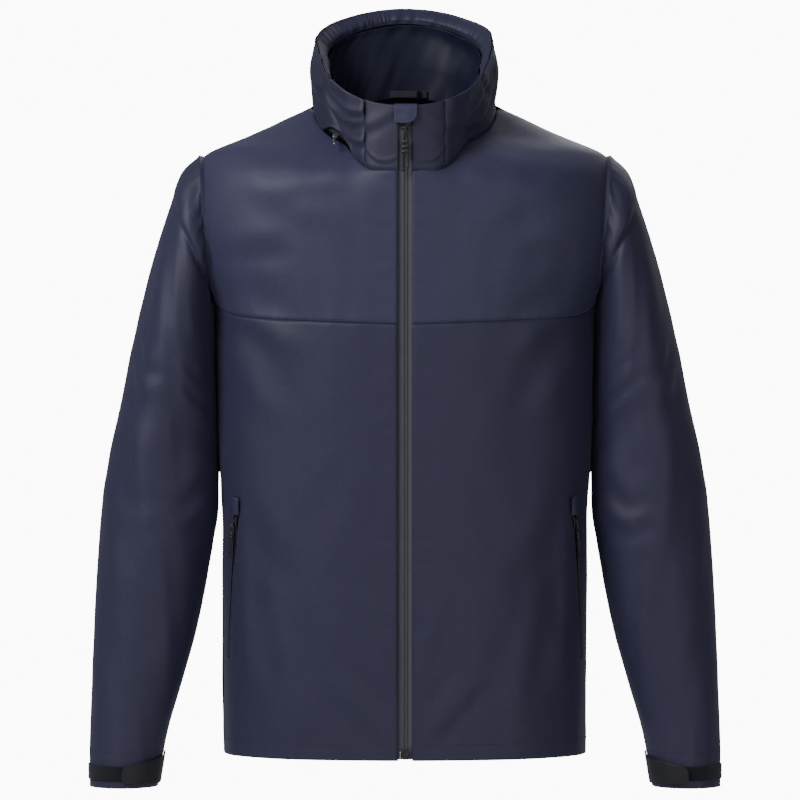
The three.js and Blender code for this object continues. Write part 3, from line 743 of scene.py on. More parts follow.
def shell_panel(name, facing, patch_place, size, grid, sewn_edges, material, mirrored=False):
    def place(u, v):
        angle, z = patch_place(u, v)
        return on_body(facing, angle, z, seam_dip(edge_distance(u, v, *size, sewn_edges)))
    return cloth_piece(name, grid, place, material, mirrored)


def belongs(obj, body, slot_name, *nodes):
    """The piece rides on a body and stands for the solids it replaces."""
    if nodes:
        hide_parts(*nodes)
    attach(obj, body)
    return obj


def sewn(name, node, grid, place, material, slot_name, flat, held, rests_on, body="root", area=None,
         **shape):
    """A piece of cloth that stands for a solid; the flat size it is cut to is not used."""
    piece = cloth_piece(name, grid, place, material, **shape)
    belongs(piece, body, slot_name, node)


def bends_with_arm(obj, side, node):
    """Cloth sewn into the armhole; hides the solid it replaces and bakes the piece's place into its mesh.
    """
    sign = 1 if side == "left" else -1
    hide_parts(node)
    start, end = metres([(sign * 246, 8, 641), (sign * 310, 8, 618)])
    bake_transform(obj)


SIDES = (("left", False), ("right", True))


def pocket_slot_cut(obj, mirrored):
    """Opens the hand pocket's slot in a front panel."""
    bm = bmesh.new()
    bm.from_mesh(obj.data)
    across, out, down, top, length = POCKET_FRAME
    flip = np.array((-1, 1, 1)) if mirrored else np.ones(3)
    corners = ((across, 4.5), (across, -4.5), (down, 0.0), (down, length))

    def near(face):
        centre = np.array(face.calc_center_median()) * 1000 * flip + (0, ORIGIN_Y, ORIGIN_Z) - top
        return abs(centre @ across) < 24 and abs(centre @ out) < 30 and -20 < centre @ down < length + 20

    for direction, offset in corners:
        faces = [f for f in bm.faces if near(f)]
        geom = faces + list({e for f in faces for e in f.edges}) + list({v for f in faces for v in f.verts})
        co = metres([top + direction * offset])[0] * flip
        bmesh.ops.bisect_plane(bm, geom=geom, dist=1e-6, plane_co=co, plane_no=direction * flip)

    def inside(face):
        centre = np.array(face.calc_center_median()) * 1000 * flip + (0, ORIGIN_Y, ORIGIN_Z) - top
        return abs(centre @ across) < 4.5 and abs(centre @ out) < 20 and 0 < centre @ down < length

    bmesh.ops.delete(bm, geom=[f for f in bm.faces if inside(f)], context="FACES")
    bm.to_mesh(obj.data)
    bm.free()


def add_shell():
    for side, mirrored in SIDES:
        yoke = shell_panel(
            f"{side}_yoke_cloth", -1, FRONT_YOKE, (230, 210), (104, 96), ("bottom", "top", "right"),
            YOKE_TONE_AND_GUARD_PAINTED_LIGHT, mirrored)
        belongs(yoke, "root", "shell_cloth", f"{side}_front_yoke")
        front = shell_panel(
            f"{side}_front_cloth", -1, FRONT_BODY, (270, 505), (110, 190), ("top", "right"),
            SHELL, mirrored)
        pocket_slot_cut(front, mirrored)
        belongs(front, "root", "shell_cloth", f"{side}_front_body")
    yoke = shell_panel(
        "back_yoke_cloth", 1, BACK_YOKE, (500, 230), (200, 96), ("bottom", "top", "left", "right"), YOKE_TONE_AND_GUARD_PAINTED_LIGHT)
    belongs(yoke, "root", "shell_cloth", "back_yoke")
    back = shell_panel("back_cloth", 1, BACK_BODY, (540, 527), (200, 180), ("top", "left", "right"), SHELL)
    belongs(back, "root", "shell_cloth", "back_body")


def collar_angle_at_x(x, up):
    low, high = np.zeros_like(up), np.full_like(up, 1.2)
    for _ in range(40):
        middle = (low + high) / 2
        nearer = collar_base(middle, up)[:, 0] < x
        low, high = np.where(nearer, middle, low), np.where(nearer, high, middle)
    return low


def lining_depth(angle):
    turn = np.abs(np.arctan2(np.sin(angle), np.cos(angle)))
    return 5 + 10 * smooth(0.7, 1.5, turn)


def round_noise(angle, up, scale, seed):
    """Noise on the collar laid out flat, in millimetres round it and up it."""
    return noise_at(columns(angle * 100, 60 * up, 0 * up), scale, seed)


# Angles round the collar where the top band is drawn in.
BAND_GATHERS = (3.42, 3.6, 2.62, 2.45, 4.5, 4.62)


def add_collar():
    def front(u, v):
        up = mix(-0.05, 1, v)
        angle = mix(collar_angle_at_x(ZIP_HALF, up), collar_angle_at_x(COLLAR_SEAM_X, up), u)
        dip = seam_dip(edge_distance(u, v, 38, 72, ("right",)))
        return on_collar(angle, up, dip - 1.6 * smooth(0.015, -0.03, up))
    for side, mirrored in SIDES:
        sewn(f"{side}_collar_front_cloth", f"{side}_collar_front", (26, 48), front, COLLAR, "shell_cloth",
             (0.045, 0.08), "stretched", "collar_wrap_cloth", mirrored=mirrored)

    def wrap(u, v):
        start = collar_angle_at_x(COLLAR_SEAM_X, mix(-0.05, 1, v))
        angle = mix(start, 2 * math.pi - start, u)
        open_zip = smooth(5.1, 5.45, angle) * smooth(-5.86, -5.72, -angle)
        up = mix(mix(-0.05, 0.17, open_zip), 1, v)
        dip = seam_dip(edge_distance(u, v, 560, 66, ("left", "right")))
        tuck = 1.6 * smooth(0.015, -0.03, up) - 3.0 * open_zip * np.exp(-v / 0.06)
        return on_collar(angle, up, dip - tuck)
    sewn("collar_wrap_cloth", "collar_outer", (380, 48), wrap, COLLAR, "shell_cloth",
         (0.56, 0.085), "stretched", "back_yoke_cloth")

    def lining(u, v):
        angle = mix(0.2, 2 * math.pi - 0.2, u)
        turn = np.minimum(angle, 2 * math.pi - angle)
        up = mix(mix(0.02, -0.5, smooth(1, 2.6, turn)), 0.76, v)
        p = collar_base(angle, up)
        drape = 6.0 * round_noise(angle, up, (42, 150, 1), 21)
        drape += 1.4 * round_noise(angle + 0.4 * up, up, (17, 120, 1), 22)
        depth = lining_depth(angle) + 0.6 + (1.6 + drape) * smooth(0.5, 1.3, turn)
        return p - collar_normal(angle, up) * depth[:, None]
    sewn("collar_lining_cloth", "collar_lining", (260, 60), lining, SATIN, "lining_satin",
         (0.5, 0.1), "hung", "collar_band_cloth", area=0.042, thick=LINING)

    def band(u, v):
        angle = mix(0.2, 2 * math.pi - 0.2, u)
        turn = np.minimum(angle, 2 * math.pi - angle)
        up = mix(0.77, 0.995, v)
        tuck = mix(lining_depth(angle), 2.4, smooth(0.3, 1, v))
        gather = round_noise(angle, up, (8, 70, 1), 23)
        knots = sum(bump(angle, at, 0.05) * np.sin((angle - at) * 130) for at in BAND_GATHERS)
        depth = tuck - smooth(0.5, 1.2, turn) * np.sin(math.pi * v) * (2.2 * gather + 3.0 * knots)
        p = collar_base(angle, up)
        lie = collar_lie(angle, up, p) * v
        return p + collar_normal(angle, up) * (lie - depth)[:, None]
    sewn("collar_band_cloth", "collar_top_band", (340, 26), band, SHELL, "shell_cloth",
         (0.54, 0.028), "gathered", "collar_wrap_cloth", thick=0.8)


def add_stowed_hood():
    """The hood is rolled up inside the collar, between the outer cloth and the lining."""
    def roll(u, v):
        angle = mix(1.55, 2 * math.pi - 1.55, u)
        round_it = 2 * math.pi * v
        up = 0.44 - 0.27 * np.cos(round_it)
        plump = 0.25 + 0.75 * np.sin(math.pi * u) ** 0.3
        inside = columns(angle * 100, np.cos(round_it) * 12, np.sin(round_it) * 12)
        crush = noise_at(inside, (14, 9, 9), 31)
        depth = 8 + (4.4 + 0.7 * crush) * np.sin(round_it) * plump
        p = collar_base(angle, up)
        return p - collar_normal(angle, up) * depth[:, None]
    piece = cloth_piece("stowed_hood_roll", (160, 24), roll, SHELL, closed=True)
    belongs(piece, "root", "shell_cloth", "stowed_hood")


def add_sleeves():
    def around(u, v):
        turn = -2 * math.pi * u - math.pi / 2
        p = on_sleeve(turn, np.clip((v - 0.02) / 0.98, 0, 1))
        tuck = 1 - np.clip(v / 0.02, 0, 1)
        p[:, 0] -= 8 * tuck
        p[:, 1] += (8 - p[:, 1]) * 0.028 * tuck
        p[:, 2] += (641 - p[:, 2]) * 0.028 * tuck
        return p

    def lining(u, v):
        return on_sleeve(-2 * math.pi * u - math.pi / 2, mix(0.03, 0.9, v), -6.2)

    def facing(u, v):
        return on_sleeve(-2 * math.pi * u - math.pi / 2, mix(0.945, 0.998, v), -2.6)
    for side, mirrored in SIDES:
        piece = cloth_piece(f"{side}_sleeve_cloth", (150, 250), around, SHELL, mirrored, True)
        bends_with_arm(piece, side, f"{side}_sleeve")
        piece = cloth_piece(f"{side}_sleeve_lining_cloth", (90, 120), lining, SATIN, mirrored, True, LINING)
        bends_with_arm(piece, side, f"{side}_sleeve_lining")
        sewn(f"{side}_cuff_facing_cloth", f"{side}_cuff_facing", (110, 14), facing, SHELL, "shell_cloth",
             (0.25, 0.045), "folded", f"{side}_sleeve_cloth", f"{side}_arm", mirrored=mirrored, closed=True)


def add_linings():
    def hem_front(u, v):
        z = mix(HEM_Z + 0.5, HEM_Z + HEM_DEPTH, v)
        start = front_angle(16, z)
        return on_body(-1, mix(start, side_angle(-1, z), u), z, -FACING_DEPTH)

    def hem_back(u, v):
        z = mix(HEM_Z + 0.5, HEM_Z + HEM_DEPTH, v)
        return on_body(1, mix(1, -1, u) * side_angle(1, z), z, -FACING_DEPTH)

    def front(u, v):
        z = mix(HEM_Z + HEM_DEPTH + 3, YOKE_Z - 5, v)
        start = front_angle(16, z)
        return on_body(-1, mix(start, side_angle(-1, z), u), z, -LINING_DEPTH)

    def back(u, v):
        z = mix(HEM_Z + HEM_DEPTH + 3, BACK_SEAM_Z, v)
        return on_body(1, mix(1, -1, u) * side_angle(1, z), z, -LINING_DEPTH)

    def bag(u, v):
        z = mix(96, 330, v)
        return on_body(-1, angle_at_x(-1, mix(45, 186, u), z), z, -BAG_DEPTH)
    for side, mirrored in SIDES:
        shell = f"{side}_front_cloth"
        sewn(f"{side}_hem_facing_cloth", f"{side}_hem_facing", (90, 10), hem_front, SHELL, "shell_cloth",
             (0.27, 0.028), "folded", shell, mirrored=mirrored)
        sewn(f"{side}_front_lining_cloth", f"{side}_front_lining", (80, 120), front, SATIN, "lining_satin",
             (0.26, 0.46), "hung", shell, mirrored=mirrored, thick=LINING)
        sewn(f"{side}_pocket_bag_cloth", f"{side}_pocket_bag", (50, 70), bag, SATIN, "lining_satin",
             (0.17, 0.24), "hung", shell, mirrored=mirrored, thick=0.8)
    sewn("back_hem_facing_cloth", "back_hem_facing", (170, 10), hem_back, SHELL, "shell_cloth",
         (0.56, 0.028), "folded", "back_cloth")
    sewn("back_lining_cloth", "back_lining", (150, 120), back, SATIN, "lining_satin",
         (0.56, 0.51), "hung", "back_cloth", thick=LINING)


# ---- Hard parts: rounded blocks, rods and rows of stitches ----
def block(bm, size, place, roundness=0.4, turn=None):
    """A rounded block of that size in millimetres, put at place."""
    made = bmesh.ops.create_cube(bm, size=1)["verts"]
    matrix = Matrix.Translation(place) @ (turn or Matrix()) @ Matrix.Diagonal((*size, 1))
    bmesh.ops.transform(bm, matrix=matrix, verts=made)
    edges = list({e for v in made for e in v.link_edges})
    bmesh.ops.bevel(bm, geom=edges, offset=roundness, segments=2, profile=0.5, affect="EDGES", material=-1)


def rod(bm, radius, start, end, segments=12):
    start, end = Vector(start), Vector(end)
    turn = (end - start).to_track_quat("Z", "Y").to_matrix().to_4x4()
    matrix = Matrix.Translation((start + end) / 2) @ turn
    depth = (end - start).length
    bmesh.ops.create_cone(
        bm, cap_ends=True, segments=segments, radius1=radius, radius2=radius, depth=depth, matrix=matrix)


def ball(bm, radius, place, stretch=(1, 1, 1)):
    matrix = Matrix.Translation(place) @ Matrix.Diagonal((*stretch, 1))
    bmesh.ops.create_uvsphere(bm, u_segments=12, v_segments=8, radius=radius, matrix=matrix)


def hard_piece(name, bm, material, place=None, mirrored=False):
    """Turns a model in millimetres into a piece; place(points) bends it to where it belongs."""
    points = np.array([tuple(v.co) for v in bm.verts])
    points = metres(place(points) if place else points)
    for vert, co in zip(bm.verts, points):
        vert.co = (-co[0], co[1], co[2]) if mirrored else co
    bmesh.ops.recalc_face_normals(bm, faces=bm.faces)
    obj = new_object(name, bm)
    obj.data.materials.append(material)
    return obj


def in_pocket_frame(points):
    across, out, down, top, length = POCKET_FRAME
    return top + points[:, :1] * across + points[:, 1:2] * out + points[:, 2:] * down


def pocket_frame():
    ends = []
    for x, z in ((192.0, 313.0), (202.0, 150.0)):
        angle = angle_at_x(-1, np.array([x]), np.array([z]))
        ends.append(body_base(-1, angle, np.array([z])))
    top, bottom = ends[0][0][0], ends[1][0][0]
    down = (bottom - top) / np.linalg.norm(bottom - top)
    out = ends[0][1][0] + ends[1][1][0]
    out = out - down * (out @ down)
    out = out / np.linalg.norm(out)
    return np.cross(out, down), out, down, top, float(np.linalg.norm(bottom - top))


POCKET_FRAME = pocket_frame()


def curve_piece(name, points, diameter, material, resolution=2, smooth_path=False):
    """A round cord, thread or wire along points in metres."""
    data = bpy.data.curves.new(name, "CURVE")
    data.dimensions = "3D"
    data.bevel_depth = diameter / 2
    data.bevel_resolution = resolution
    data.use_fill_caps = True
    spline = data.splines.new("NURBS" if smooth_path else "POLY")
    spline.points.add(len(points) - 1)
    for point, co in zip(spline.points, points):
        point.co = (*co, 1)
    if smooth_path:
        spline.use_endpoint_u = True
        spline.order_u = 4
        spline.resolution_u = 8
    obj = bpy.data.objects.new(name, data)
    bpy.context.collection.objects.link(obj)
    data.materials.append(material)
    return obj


def along_path(points, pitch):
    """Middles and directions every pitch along a line of points."""
    points = np.asarray(points, dtype=float)
    steps = np.linalg.norm(np.diff(points, axis=0), axis=1)
    run = np.concatenate([[0], np.cumsum(steps)])
    at = np.arange(pitch / 2, run[-1], pitch)
    middles = columns(*[np.interp(at, run, points[:, k]) for k in range(3)])
    ahead = columns(*[np.interp(at + 0.3, run, points[:, k]) for k in range(3)])
    behind = columns(*[np.interp(at - 0.3, run, points[:, k]) for k in range(3)])
    return middles, ahead - behind


STITCH = {"pitch": 3.2, "length": 2.3, "radius": 0.26, "lift": 0.15}


def stitches(name, lines, body="root", mirrored=False):
    """Rows of sewing thread lying on the cloth; each line is a row of points in millimetres."""
    bm = bmesh.new()
    for line in lines:
        for middle, way in zip(*along_path(line, STITCH["pitch"])):
            if np.linalg.norm(way) < 1e-6:
                continue
            turn = Vector(way).to_track_quat("Z", "Y").to_matrix().to_4x4()
            size = Matrix.Diagonal((STITCH["radius"], STITCH["radius"], STITCH["length"] / 2, 1))
            matrix = Matrix.Translation(middle) @ turn @ size
            bmesh.ops.create_icosphere(bm, subdivisions=1, radius=1, matrix=matrix)
    belongs(hard_piece(name, bm, THREAD, mirrored=mirrored), body, "shell_cloth")


def plain_material(name, colour, rough, bump_size=0.0, metallic=0.0, grain=900):
    """A moulded or metal surface with a fine grain and slightly uneven shine."""
    material, tree, shader = new_material(name, colour, rough, metallic)
    place = tree.nodes.new("ShaderNodeTexCoord")
    speck = tree.nodes.new("ShaderNodeTexNoise")
    speck.inputs["Scale"].default_value = grain
    tree.links.new(place.outputs["Object"], speck.inputs["Vector"])
    shine = math_node(tree, "ADD", math_node(tree, "MULTIPLY", speck.outputs["Fac"], 0.16), rough - 0.08)
    tree.links.new(shine, shader.inputs["Roughness"])
    grit = tree.nodes.new("ShaderNodeBump")
    grit.inputs["Distance"].default_value = bump_size
    tree.links.new(speck.outputs["Fac"], grit.inputs["Height"])
    tree.links.new(grit.outputs[0], shader.inputs["Normal"])
    return material


PLASTIC = plain_material("moulded_plastic", (0.012, 0.012, 0.016), 0.42, 0.00008)
COIL = plain_material("coil_plastic", (0.016, 0.018, 0.024), 0.35, 0.00004)
METAL = plain_material("silver_metal", (0.55, 0.56, 0.58), 0.34, 0.00003, 1.0)
THREAD = plain_material("sewing_thread", (0.020, 0.021, 0.040), 0.6, 0.00005, 0.0, 2500)
CORD = plain_material("pull_cord", (0.014, 0.014, 0.018), 0.75, 0.00025, 0.0, 1500)


ZIP = {"bottom": 51, "top": 772, "coil_pitch": 1.7, "sewing_pitch": 2.2}


def add_main_zip():
    bottom, top = ZIP["bottom"], ZIP["top"]
    tape_x = np.array([0.15, 0.7, 1.5, 2.2, 2.7, 3.2, 6.8, 7.2, 7.8, 12.0])
    tape_y = np.array([-126.6, -127.6, -127.9, -127.6, -127.0, -126.9, -126.9, -127.1, -126.9, -126.9])

    def tape(u, v):
        k = u * (len(tape_x) - 1)
        x = np.interp(k, np.arange(len(tape_x)), tape_x)
        y = np.interp(k, np.arange(len(tape_x)), tape_y)
        return columns(x, y, mix(HEM_Z + 1.5, top, v))
    for side, mirrored in SIDES:
        sign = -1 if mirrored else 1
        sewn(f"{side}_zip_tape_cloth", f"{side}_zip_tape", (18, 40), tape, TAPE, "zip_tape",
             (0.0125, 0.721), "stretched", f"{side}_front_cloth", mirrored=mirrored, thick=0.7)
        bm = bmesh.new()
        for z in np.arange(bottom + 2, top - 4, ZIP["sewing_pitch"]):
            slant = Matrix.Rotation(math.radians(24), 4, "Y")
            matrix = Matrix.Translation((2.0, -127.85, z)) @ slant @ Matrix.Diagonal((1.5, 0.32, 0.42, 1))
            bmesh.ops.create_icosphere(bm, subdivisions=1, radius=1, matrix=matrix)
        chevrons = hard_piece(f"{side}_tape_sewing", bm, THREAD_GREY, mirrored=mirrored)
        belongs(chevrons, "root", "zip_tape")
        turns = int((top - 4 - bottom) / ZIP["coil_pitch"])
        t = np.arange(turns * 8 + 1) / 8
        wave = 2 * math.pi * t
        x = 1.9 - 1.45 * np.cos(wave)
        y = -124.3 + 1.0 * np.sin(wave)
        z = bottom + 1 + ZIP["coil_pitch"] * (t + (0 if sign > 0 else 0.5))
        coil = curve_piece(f"{side}_coil", metres(columns(sign * x, y, z)), 0.0006, COIL, 0)
        belongs(coil, "root", "black_plastic", f"{side}_zip_coil")
        bm = bmesh.new()
        block(bm, (3.4, 2.6, 2.6), (2.25, -124.25, top - 1.3))
        stop = hard_piece(f"{side}_stop", bm, PLASTIC, mirrored=mirrored)
        belongs(stop, "root", "black_plastic", f"{side}_top_stop")


def add_zip_foot():
    """The retainer box and the insertion pin."""
    bm = bmesh.new()
    block(bm, (8, 8, 10), (0, -126.5, HEM_Z + 6.5), 1.0)
    block(bm, (5, 0.8, 6), (0, -130.6, HEM_Z + 6.5), 0.3)
    block(bm, (9.5, 1.6, 1.6), (0, -130.0, HEM_Z + 10.6), 0.5)
    block(bm, (15, 0.8, 26), (0, -120.2, HEM_Z + 15), 0.3)
    belongs(hard_piece("retainer", bm, PLASTIC), "root", "black_plastic", "zip_retainer_box")
    bm = bmesh.new()
    rod(bm, 1.0, (-5.4, -126.6, HEM_Z + 2.2), (-5.4, -126.6, HEM_Z + 11), 16)
    ball(bm, 1.0, (-5.4, -126.6, HEM_Z + 2.2))
    belongs(hard_piece("insertion_pin", bm, METAL), "root", "silver_metal", "zip_insertion_pin")


def add_storm_flap():
    def flap(u, v):
        x, z = mix(-20, 24, u), mix(70, 765, v)
        y = -117.6 + 0.5 * np.sin(z / 37) * np.sin(math.pi * u)
        return columns(x, y, z)
    sewn("storm_flap_cloth", "storm_flap", (20, 120), flap, SHELL, "shell_cloth",
         (0.044, 0.695), "hung", "left_front_cloth")


PULL_ROUTE = [
    (-2.6, -134, 703), (-2.6, -134, 722), (-2, -133.6, 736), (-0.6, -131.6, 746), (0, -131.4, 750.3),
    (0, -134, 752.7), (0, -136.6, 750.3), (0.6, -136.4, 746), (2.4, -134.4, 736), (3, -134, 722),
    (3.2, -134, 707),
]


def add_main_slider():
    bm = bmesh.new()
    for y, thick in ((-129, 1.8), (-121.8, 1.2)):
        block(bm, (10.5, thick, 11), (0, y, 759.2), 0.8)
        block(bm, (7.6, thick, 6), (0, y, 752.2), 0.8)
    block(bm, (1.2, 7.2, 10), (0, -125.4, 758), 0.3)
    for x in (-4.9, 4.9):
        block(bm, (0.9, 2.6, 12), (x, -127.6, 758.6), 0.3)
    block(bm, (3.4, 1.2, 9), (0, -130.3, 759.5), 0.5)
    for x in (-3.5, 3.5):
        block(bm, (1.3, 5.2, 3.2), (x, -132.2, 750.6), 0.5)
    rod(bm, 0.9, (-3.8, -134, 750), (3.8, -134, 750), 16)
    belongs(hard_piece("main_slider_body", bm, PLASTIC), "main_slider", "black_plastic", "main_zip_slider")
    grip = bmesh.new()
    for k in (-1, 0, 1):
        lean = Matrix.Rotation(math.radians(-20), 4, "Y")
        block(grip, (9.2, 5.6, 3.9), (0.2, -134, 729.5 + 5.4 * k), 1.3, lean)
    for x, z in ((-2.6, 703.4), (3.2, 707.2)):
        ball(grip, 1.7, (x, -134, z), (1, 1, 1.7))
    grip = hard_piece("pull_grip", grip, PLASTIC)
    belongs(grip, "main_pull", "black_plastic", "main_zip_pull_grip")
    cord = curve_piece("pull_cord_loop", metres(PULL_ROUTE), 0.0024, CORD, 3, True)
    belongs(cord, "main_pull", "pull_cord", "main_zip_pull_cord")
    tuple(metres([PULL_ROUTE[0]])[0])


def rounded_end(u, length, height, radius):
    """Half the height of a tab that ends in round corners at u = 1."""
    left = np.clip((1 - u) * length, 0, radius)
    return height / 2 - radius + np.sqrt(np.clip(radius ** 2 - (radius - left) ** 2, 0, None))


def add_chin_guard():
    def guard(u, v):
        x = mix(-12.5, 13.5, u)
        corner = 13 - np.sqrt(np.clip(169 - np.clip(13 - (1 - u) * 26, 0, 12.6) ** 2, 0, None))
        z = mix(755.3 + corner + 1.2 * (1 - u) ** 4, 777.6, v)
        y = -133.6 + 3.2 * smooth(0.72, 1.0, v) ** 2 - 0.7 * np.cos((u - 0.5) * 3) + 0.5 * noise_at(
            columns(x, z, 0 * z), (9, 12, 1), 41)
        return columns(x, y, z)
    # The guard wears the lighter yoke cloth as a painted highlight: the lighter tone stands in for the
    # light that falls on it.
    sewn("chin_guard_cloth", "chin_guard", (30, 26), guard, YOKE_TONE_AND_GUARD_PAINTED_LIGHT, "shell_cloth",
         (0.026, 0.024), "folded", "left_collar_front_cloth", "chin_flap", thick=1.4)


def add_hanger():
    def strap(u, v):
        x = mix(-26, 26, u)
        y = 58.5 - 1.5 + 8 * smooth(13.5, 19.5, np.abs(x))
        return columns(x, np.minimum(y, 65), mix(798, 806, v))
    sewn("hanger_strap", "hanger_loop", (60, 8), strap, TAPE_NAVY, "shell_cloth",
         (0.056, 0.01), "folded", "collar_lining_cloth", area=0.00045, thick=1.3)


def add_pocket_zips():
    length = POCKET_FRAME[-1]

    def tape(u, v):
        x = mix(-4.1, 4.1, u)
        rib = 0.9 * bump(np.abs(x), 1.1, 0.7)
        return in_pocket_frame(columns(x, -2.0 + rib, mix(-2, length - 1, v)))

    def garage(u, v):
        spread = 2 * u - 1
        half = 6.2 * np.sqrt(np.clip(1 - np.clip((0.16 - v) / 0.16, 0, 1) ** 2, 0.02, 1))
        arch = 4.2 - 3.6 * spread ** 2 * (0.6 + 0.4 * v)
        return in_pocket_frame(columns(spread * half, arch, mix(-21, -1.5, v)))
    for side, mirrored in SIDES:
        sewn(f"{side}_pocket_tape_cloth", f"{side}_pocket_zip_tape", (24, 60), tape, TAPE_NAVY, "zip_tape",
             (0.01, 0.166), "stretched", f"{side}_front_cloth", area=0.0014, mirrored=mirrored, thick=0.6)
        sewn(f"{side}_garage_cloth", f"{side}_pocket_zip_garage", (24, 24), garage, SHELL, "shell_cloth",
             (0.014, 0.021), "folded", f"{side}_front_cloth", mirrored=mirrored, thick=0.9)
        bm = bmesh.new()
        block(bm, (7.4, 1.7, 9.5), (0, 1.7, 5.4), 0.6)
        block(bm, (5.4, 1.6, 5.0), (0, 1.5, 10.6), 0.6)
        block(bm, (2.2, 2.6, 5.0), (0, 3.1, 6.4), 0.6)
        slider = hard_piece(f"{side}_pocket_slider_body", bm, PLASTIC, in_pocket_frame, mirrored)
        belongs(slider, f"{side}_pocket_slider", "black_plastic", f"{side}_pocket_zip_slider")
        bm = bmesh.new()
        for x, end in ((-1.1, 50), (1.1, 47)):
            rod(bm, 0.9, (x * 0.4, 4.6, 8.5), (x, 5.4, 18))
            rod(bm, 0.9, (x, 5.4, 18), (x, 5.4, end))
            ball(bm, 1.3, (x, 5.4, end), (1, 1, 1.5))
            ball(bm, 0.9, (x * 0.4, 4.6, 8.5))
        for k in range(3):
            lean = Matrix.Rotation(math.radians(20), 4, "Y")
            block(bm, (5.0, 3.4, 2.4), (0, 5.4, 21 + 3.6 * k), 0.8, lean)
        pull = hard_piece(f"{side}_pocket_pull_cord", bm, PLASTIC, in_pocket_frame, mirrored)
        belongs(pull, f"{side}_pocket_pull", "pull_cord", f"{side}_pocket_zip_pull")
        bm = bmesh.new()
        for k in range(16):
            matrix = Matrix.Translation((-5.2 + 0.7 * k, 0.6, -22.5)) @ Matrix.Diagonal((0.3, 0.35, 1.5, 1))
            bmesh.ops.create_icosphere(bm, subdivisions=1, radius=1, matrix=matrix)
        tack = hard_piece(f"{side}_bar_tack", bm, THREAD, in_pocket_frame, mirrored)
        belongs(tack, "root", "shell_cloth")


def add_hood_zip():
    def chain(u, v):
        angle = mix(HOOD_ZIP_START - 0.35, 2 * math.pi - HOOD_ZIP_START + 0.35, u)
        up = mix(0.03, 0.125, v)
        rib = 1.0 * bump(v, 0.5, 0.16)
        p = collar_base(angle, up)
        return p - collar_normal(angle, up) * (1.6 - rib)[:, None]
    sewn("hood_zip_tape", "hood_zip_chain", (300, 10), chain, TAPE_NAVY, "black_plastic",
         (0.6, 0.01), "stretched", "collar_wrap_cloth", area=0.0048, thick=0.9)
    angle, up = np.array([-HOOD_ZIP_START]), np.array([0.075])
    at = collar_base(angle, up)[0] + collar_normal(angle, up)[0] * 4.4
    axis = np.array((0, -math.sin(NECK_TILT), math.cos(NECK_TILT)))
    out = collar_normal(angle, np.array([0.07]))[0]
    out = out - axis * (out @ axis)
    out = out / np.linalg.norm(out)
    across = np.cross(out, axis)

    def placed(points):
        return at + points[:, :1] * across + points[:, 1:2] * out + points[:, 2:] * axis
    bm = bmesh.new()
    block(bm, (10.5, 3.0, 6.2), (0, 0, 0), 1.0)
    block(bm, (5.0, 1.6, 3.0), (0, 1.8, 0.6), 0.6)
    slider = hard_piece("hood_slider_body", bm, PLASTIC, placed)
    belongs(slider, "hood_slider", "black_plastic", "hood_zip_slider")
    forward = np.array((0, -math.cos(NECK_TILT), -math.sin(NECK_TILT)))
    side = np.array((1.0, 0, 0))
    above = np.cross(side, forward)
    start = at + out * 2.4 + forward * 3.2 + axis * 4.6

    def lying(points):
        return start + points[:, :1] * side + points[:, 1:2] * forward + points[:, 2:] * above
    bm = bmesh.new()
    block(bm, (4.6, 8, 1.5), (0, 4, 0), 0.6)
    block(bm, (2.6, 18, 1.5), (0, 16, 0), 0.6)
    belongs(hard_piece("hood_pull_plate", bm, METAL, lying), "hood_pull", "silver_metal", "hood_zip_pull")


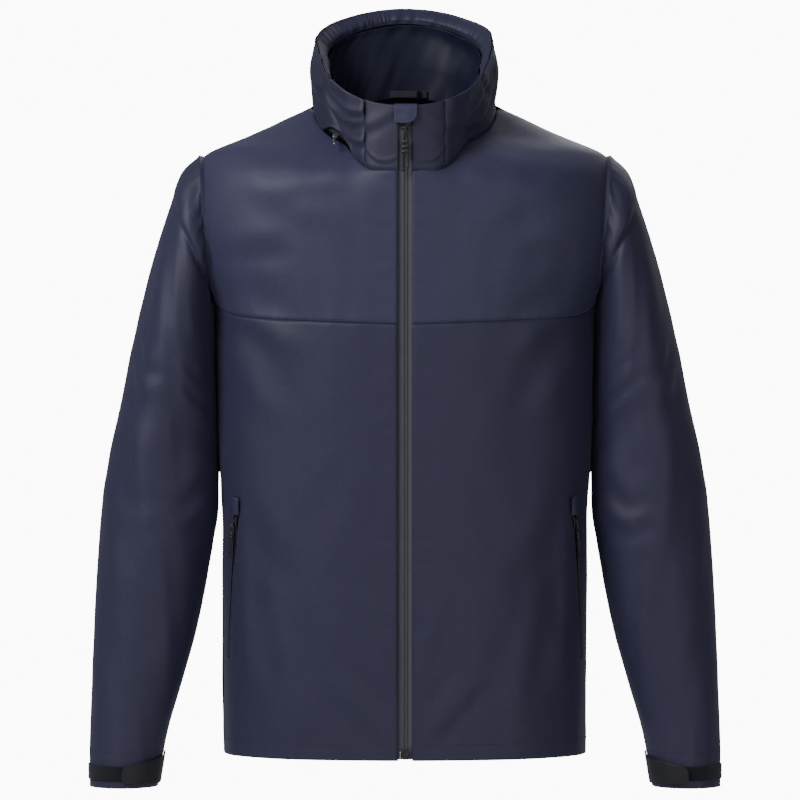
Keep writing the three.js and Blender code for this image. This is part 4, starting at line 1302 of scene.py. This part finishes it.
def add_cuffs():
    def strip(u, v):
        return on_sleeve(mix(-0.7, 2.2, u), mix(0.988, 0.966, v), 1.6)

    def hooks(u, v):
        return on_sleeve(mix(-0.62, -0.07, u), mix(0.988, 0.970, v), 2.9)

    def tab(u, v):
        angle = mix(-1.77, 0.02, u)
        half = rounded_end(u, 3.4, 1, 0.3)
        low, high = 0.993, mix(0.946, 0.966, u)
        along = (low + high) / 2 - (low - high) * half * (2 * v - 1)
        return on_sleeve(angle, along, mix(2.2, 4.9, smooth(0.1, 0.45, u)) + 0.25 * np.sin(u * 9))
    for side, mirrored in SIDES:
        sewn(f"{side}_loop_strip", f"{side}_cuff_loop_strip", (90, 16), strip, LOOP_PILE, "hook_and_loop",
             (0.13, 0.018), "laid", f"{side}_sleeve_cloth", f"{side}_arm", mirrored=mirrored, thick=1.1)
        sewn(f"{side}_hook_patch", f"{side}_cuff_hook_patch", (30, 14), hooks, LOOP_PILE, "hook_and_loop",
             (0.026, 0.015), "laid", f"{side}_tab_cloth", f"{side}_tab", mirrored=mirrored, thick=0.9)
        sewn(f"{side}_tab_cloth", f"{side}_cuff_tab", (90, 22), tab, TAB, "shell_cloth",
             (0.085, 0.028), "laid", f"{side}_loop_strip", f"{side}_tab", mirrored=mirrored, thick=1.7)


def add_stitching():
    u, lift = np.linspace(0.02, 0.98, 160), STITCH["lift"]

    def seam_line(offset):
        angle, z = front_seam(u)
        return on_body(-1, angle, z + offset, lift)

    def level_line(facing, z_value):
        z = np.full_like(u, z_value)
        if facing < 0:
            start = front_angle(10, z)
            return on_body(-1, mix(start, side_angle(-1, z), u), z, lift)
        return on_body(1, mix(1, -1, u) * side_angle(1, z), z, lift)

    def placket(x, low, high):
        z = np.linspace(low, high, 260)
        return on_body(-1, front_angle(x, z), z, lift)

    def sleeve_ring(along):
        turn = np.linspace(0, 2 * math.pi, 120)
        return on_sleeve(turn, np.full_like(turn, along), lift)
    hem = HEM_Z + HEM_DEPTH - 9
    for side, mirrored in SIDES:
        lines = [seam_line(3.0), level_line(-1, hem), placket(10.4, HEM_Z + 2, 700)]
        stitches(f"{side}_front_stitching", lines, "root", mirrored)
        stitches(f"{side}_cuff_stitching", [sleeve_ring(0.945)], f"{side}_arm", mirrored)
    stitches("back_stitching", [level_line(1, hem), level_line(1, BACK_SEAM_Z + 3)])


add_shell()
add_collar()
add_stowed_hood()
add_sleeves()
add_linings()
add_main_zip()
add_zip_foot()
add_storm_flap()
add_main_slider()
add_chin_guard()
add_hanger()
add_pocket_zips()
add_hood_zip()
add_cuffs()
add_stitching()
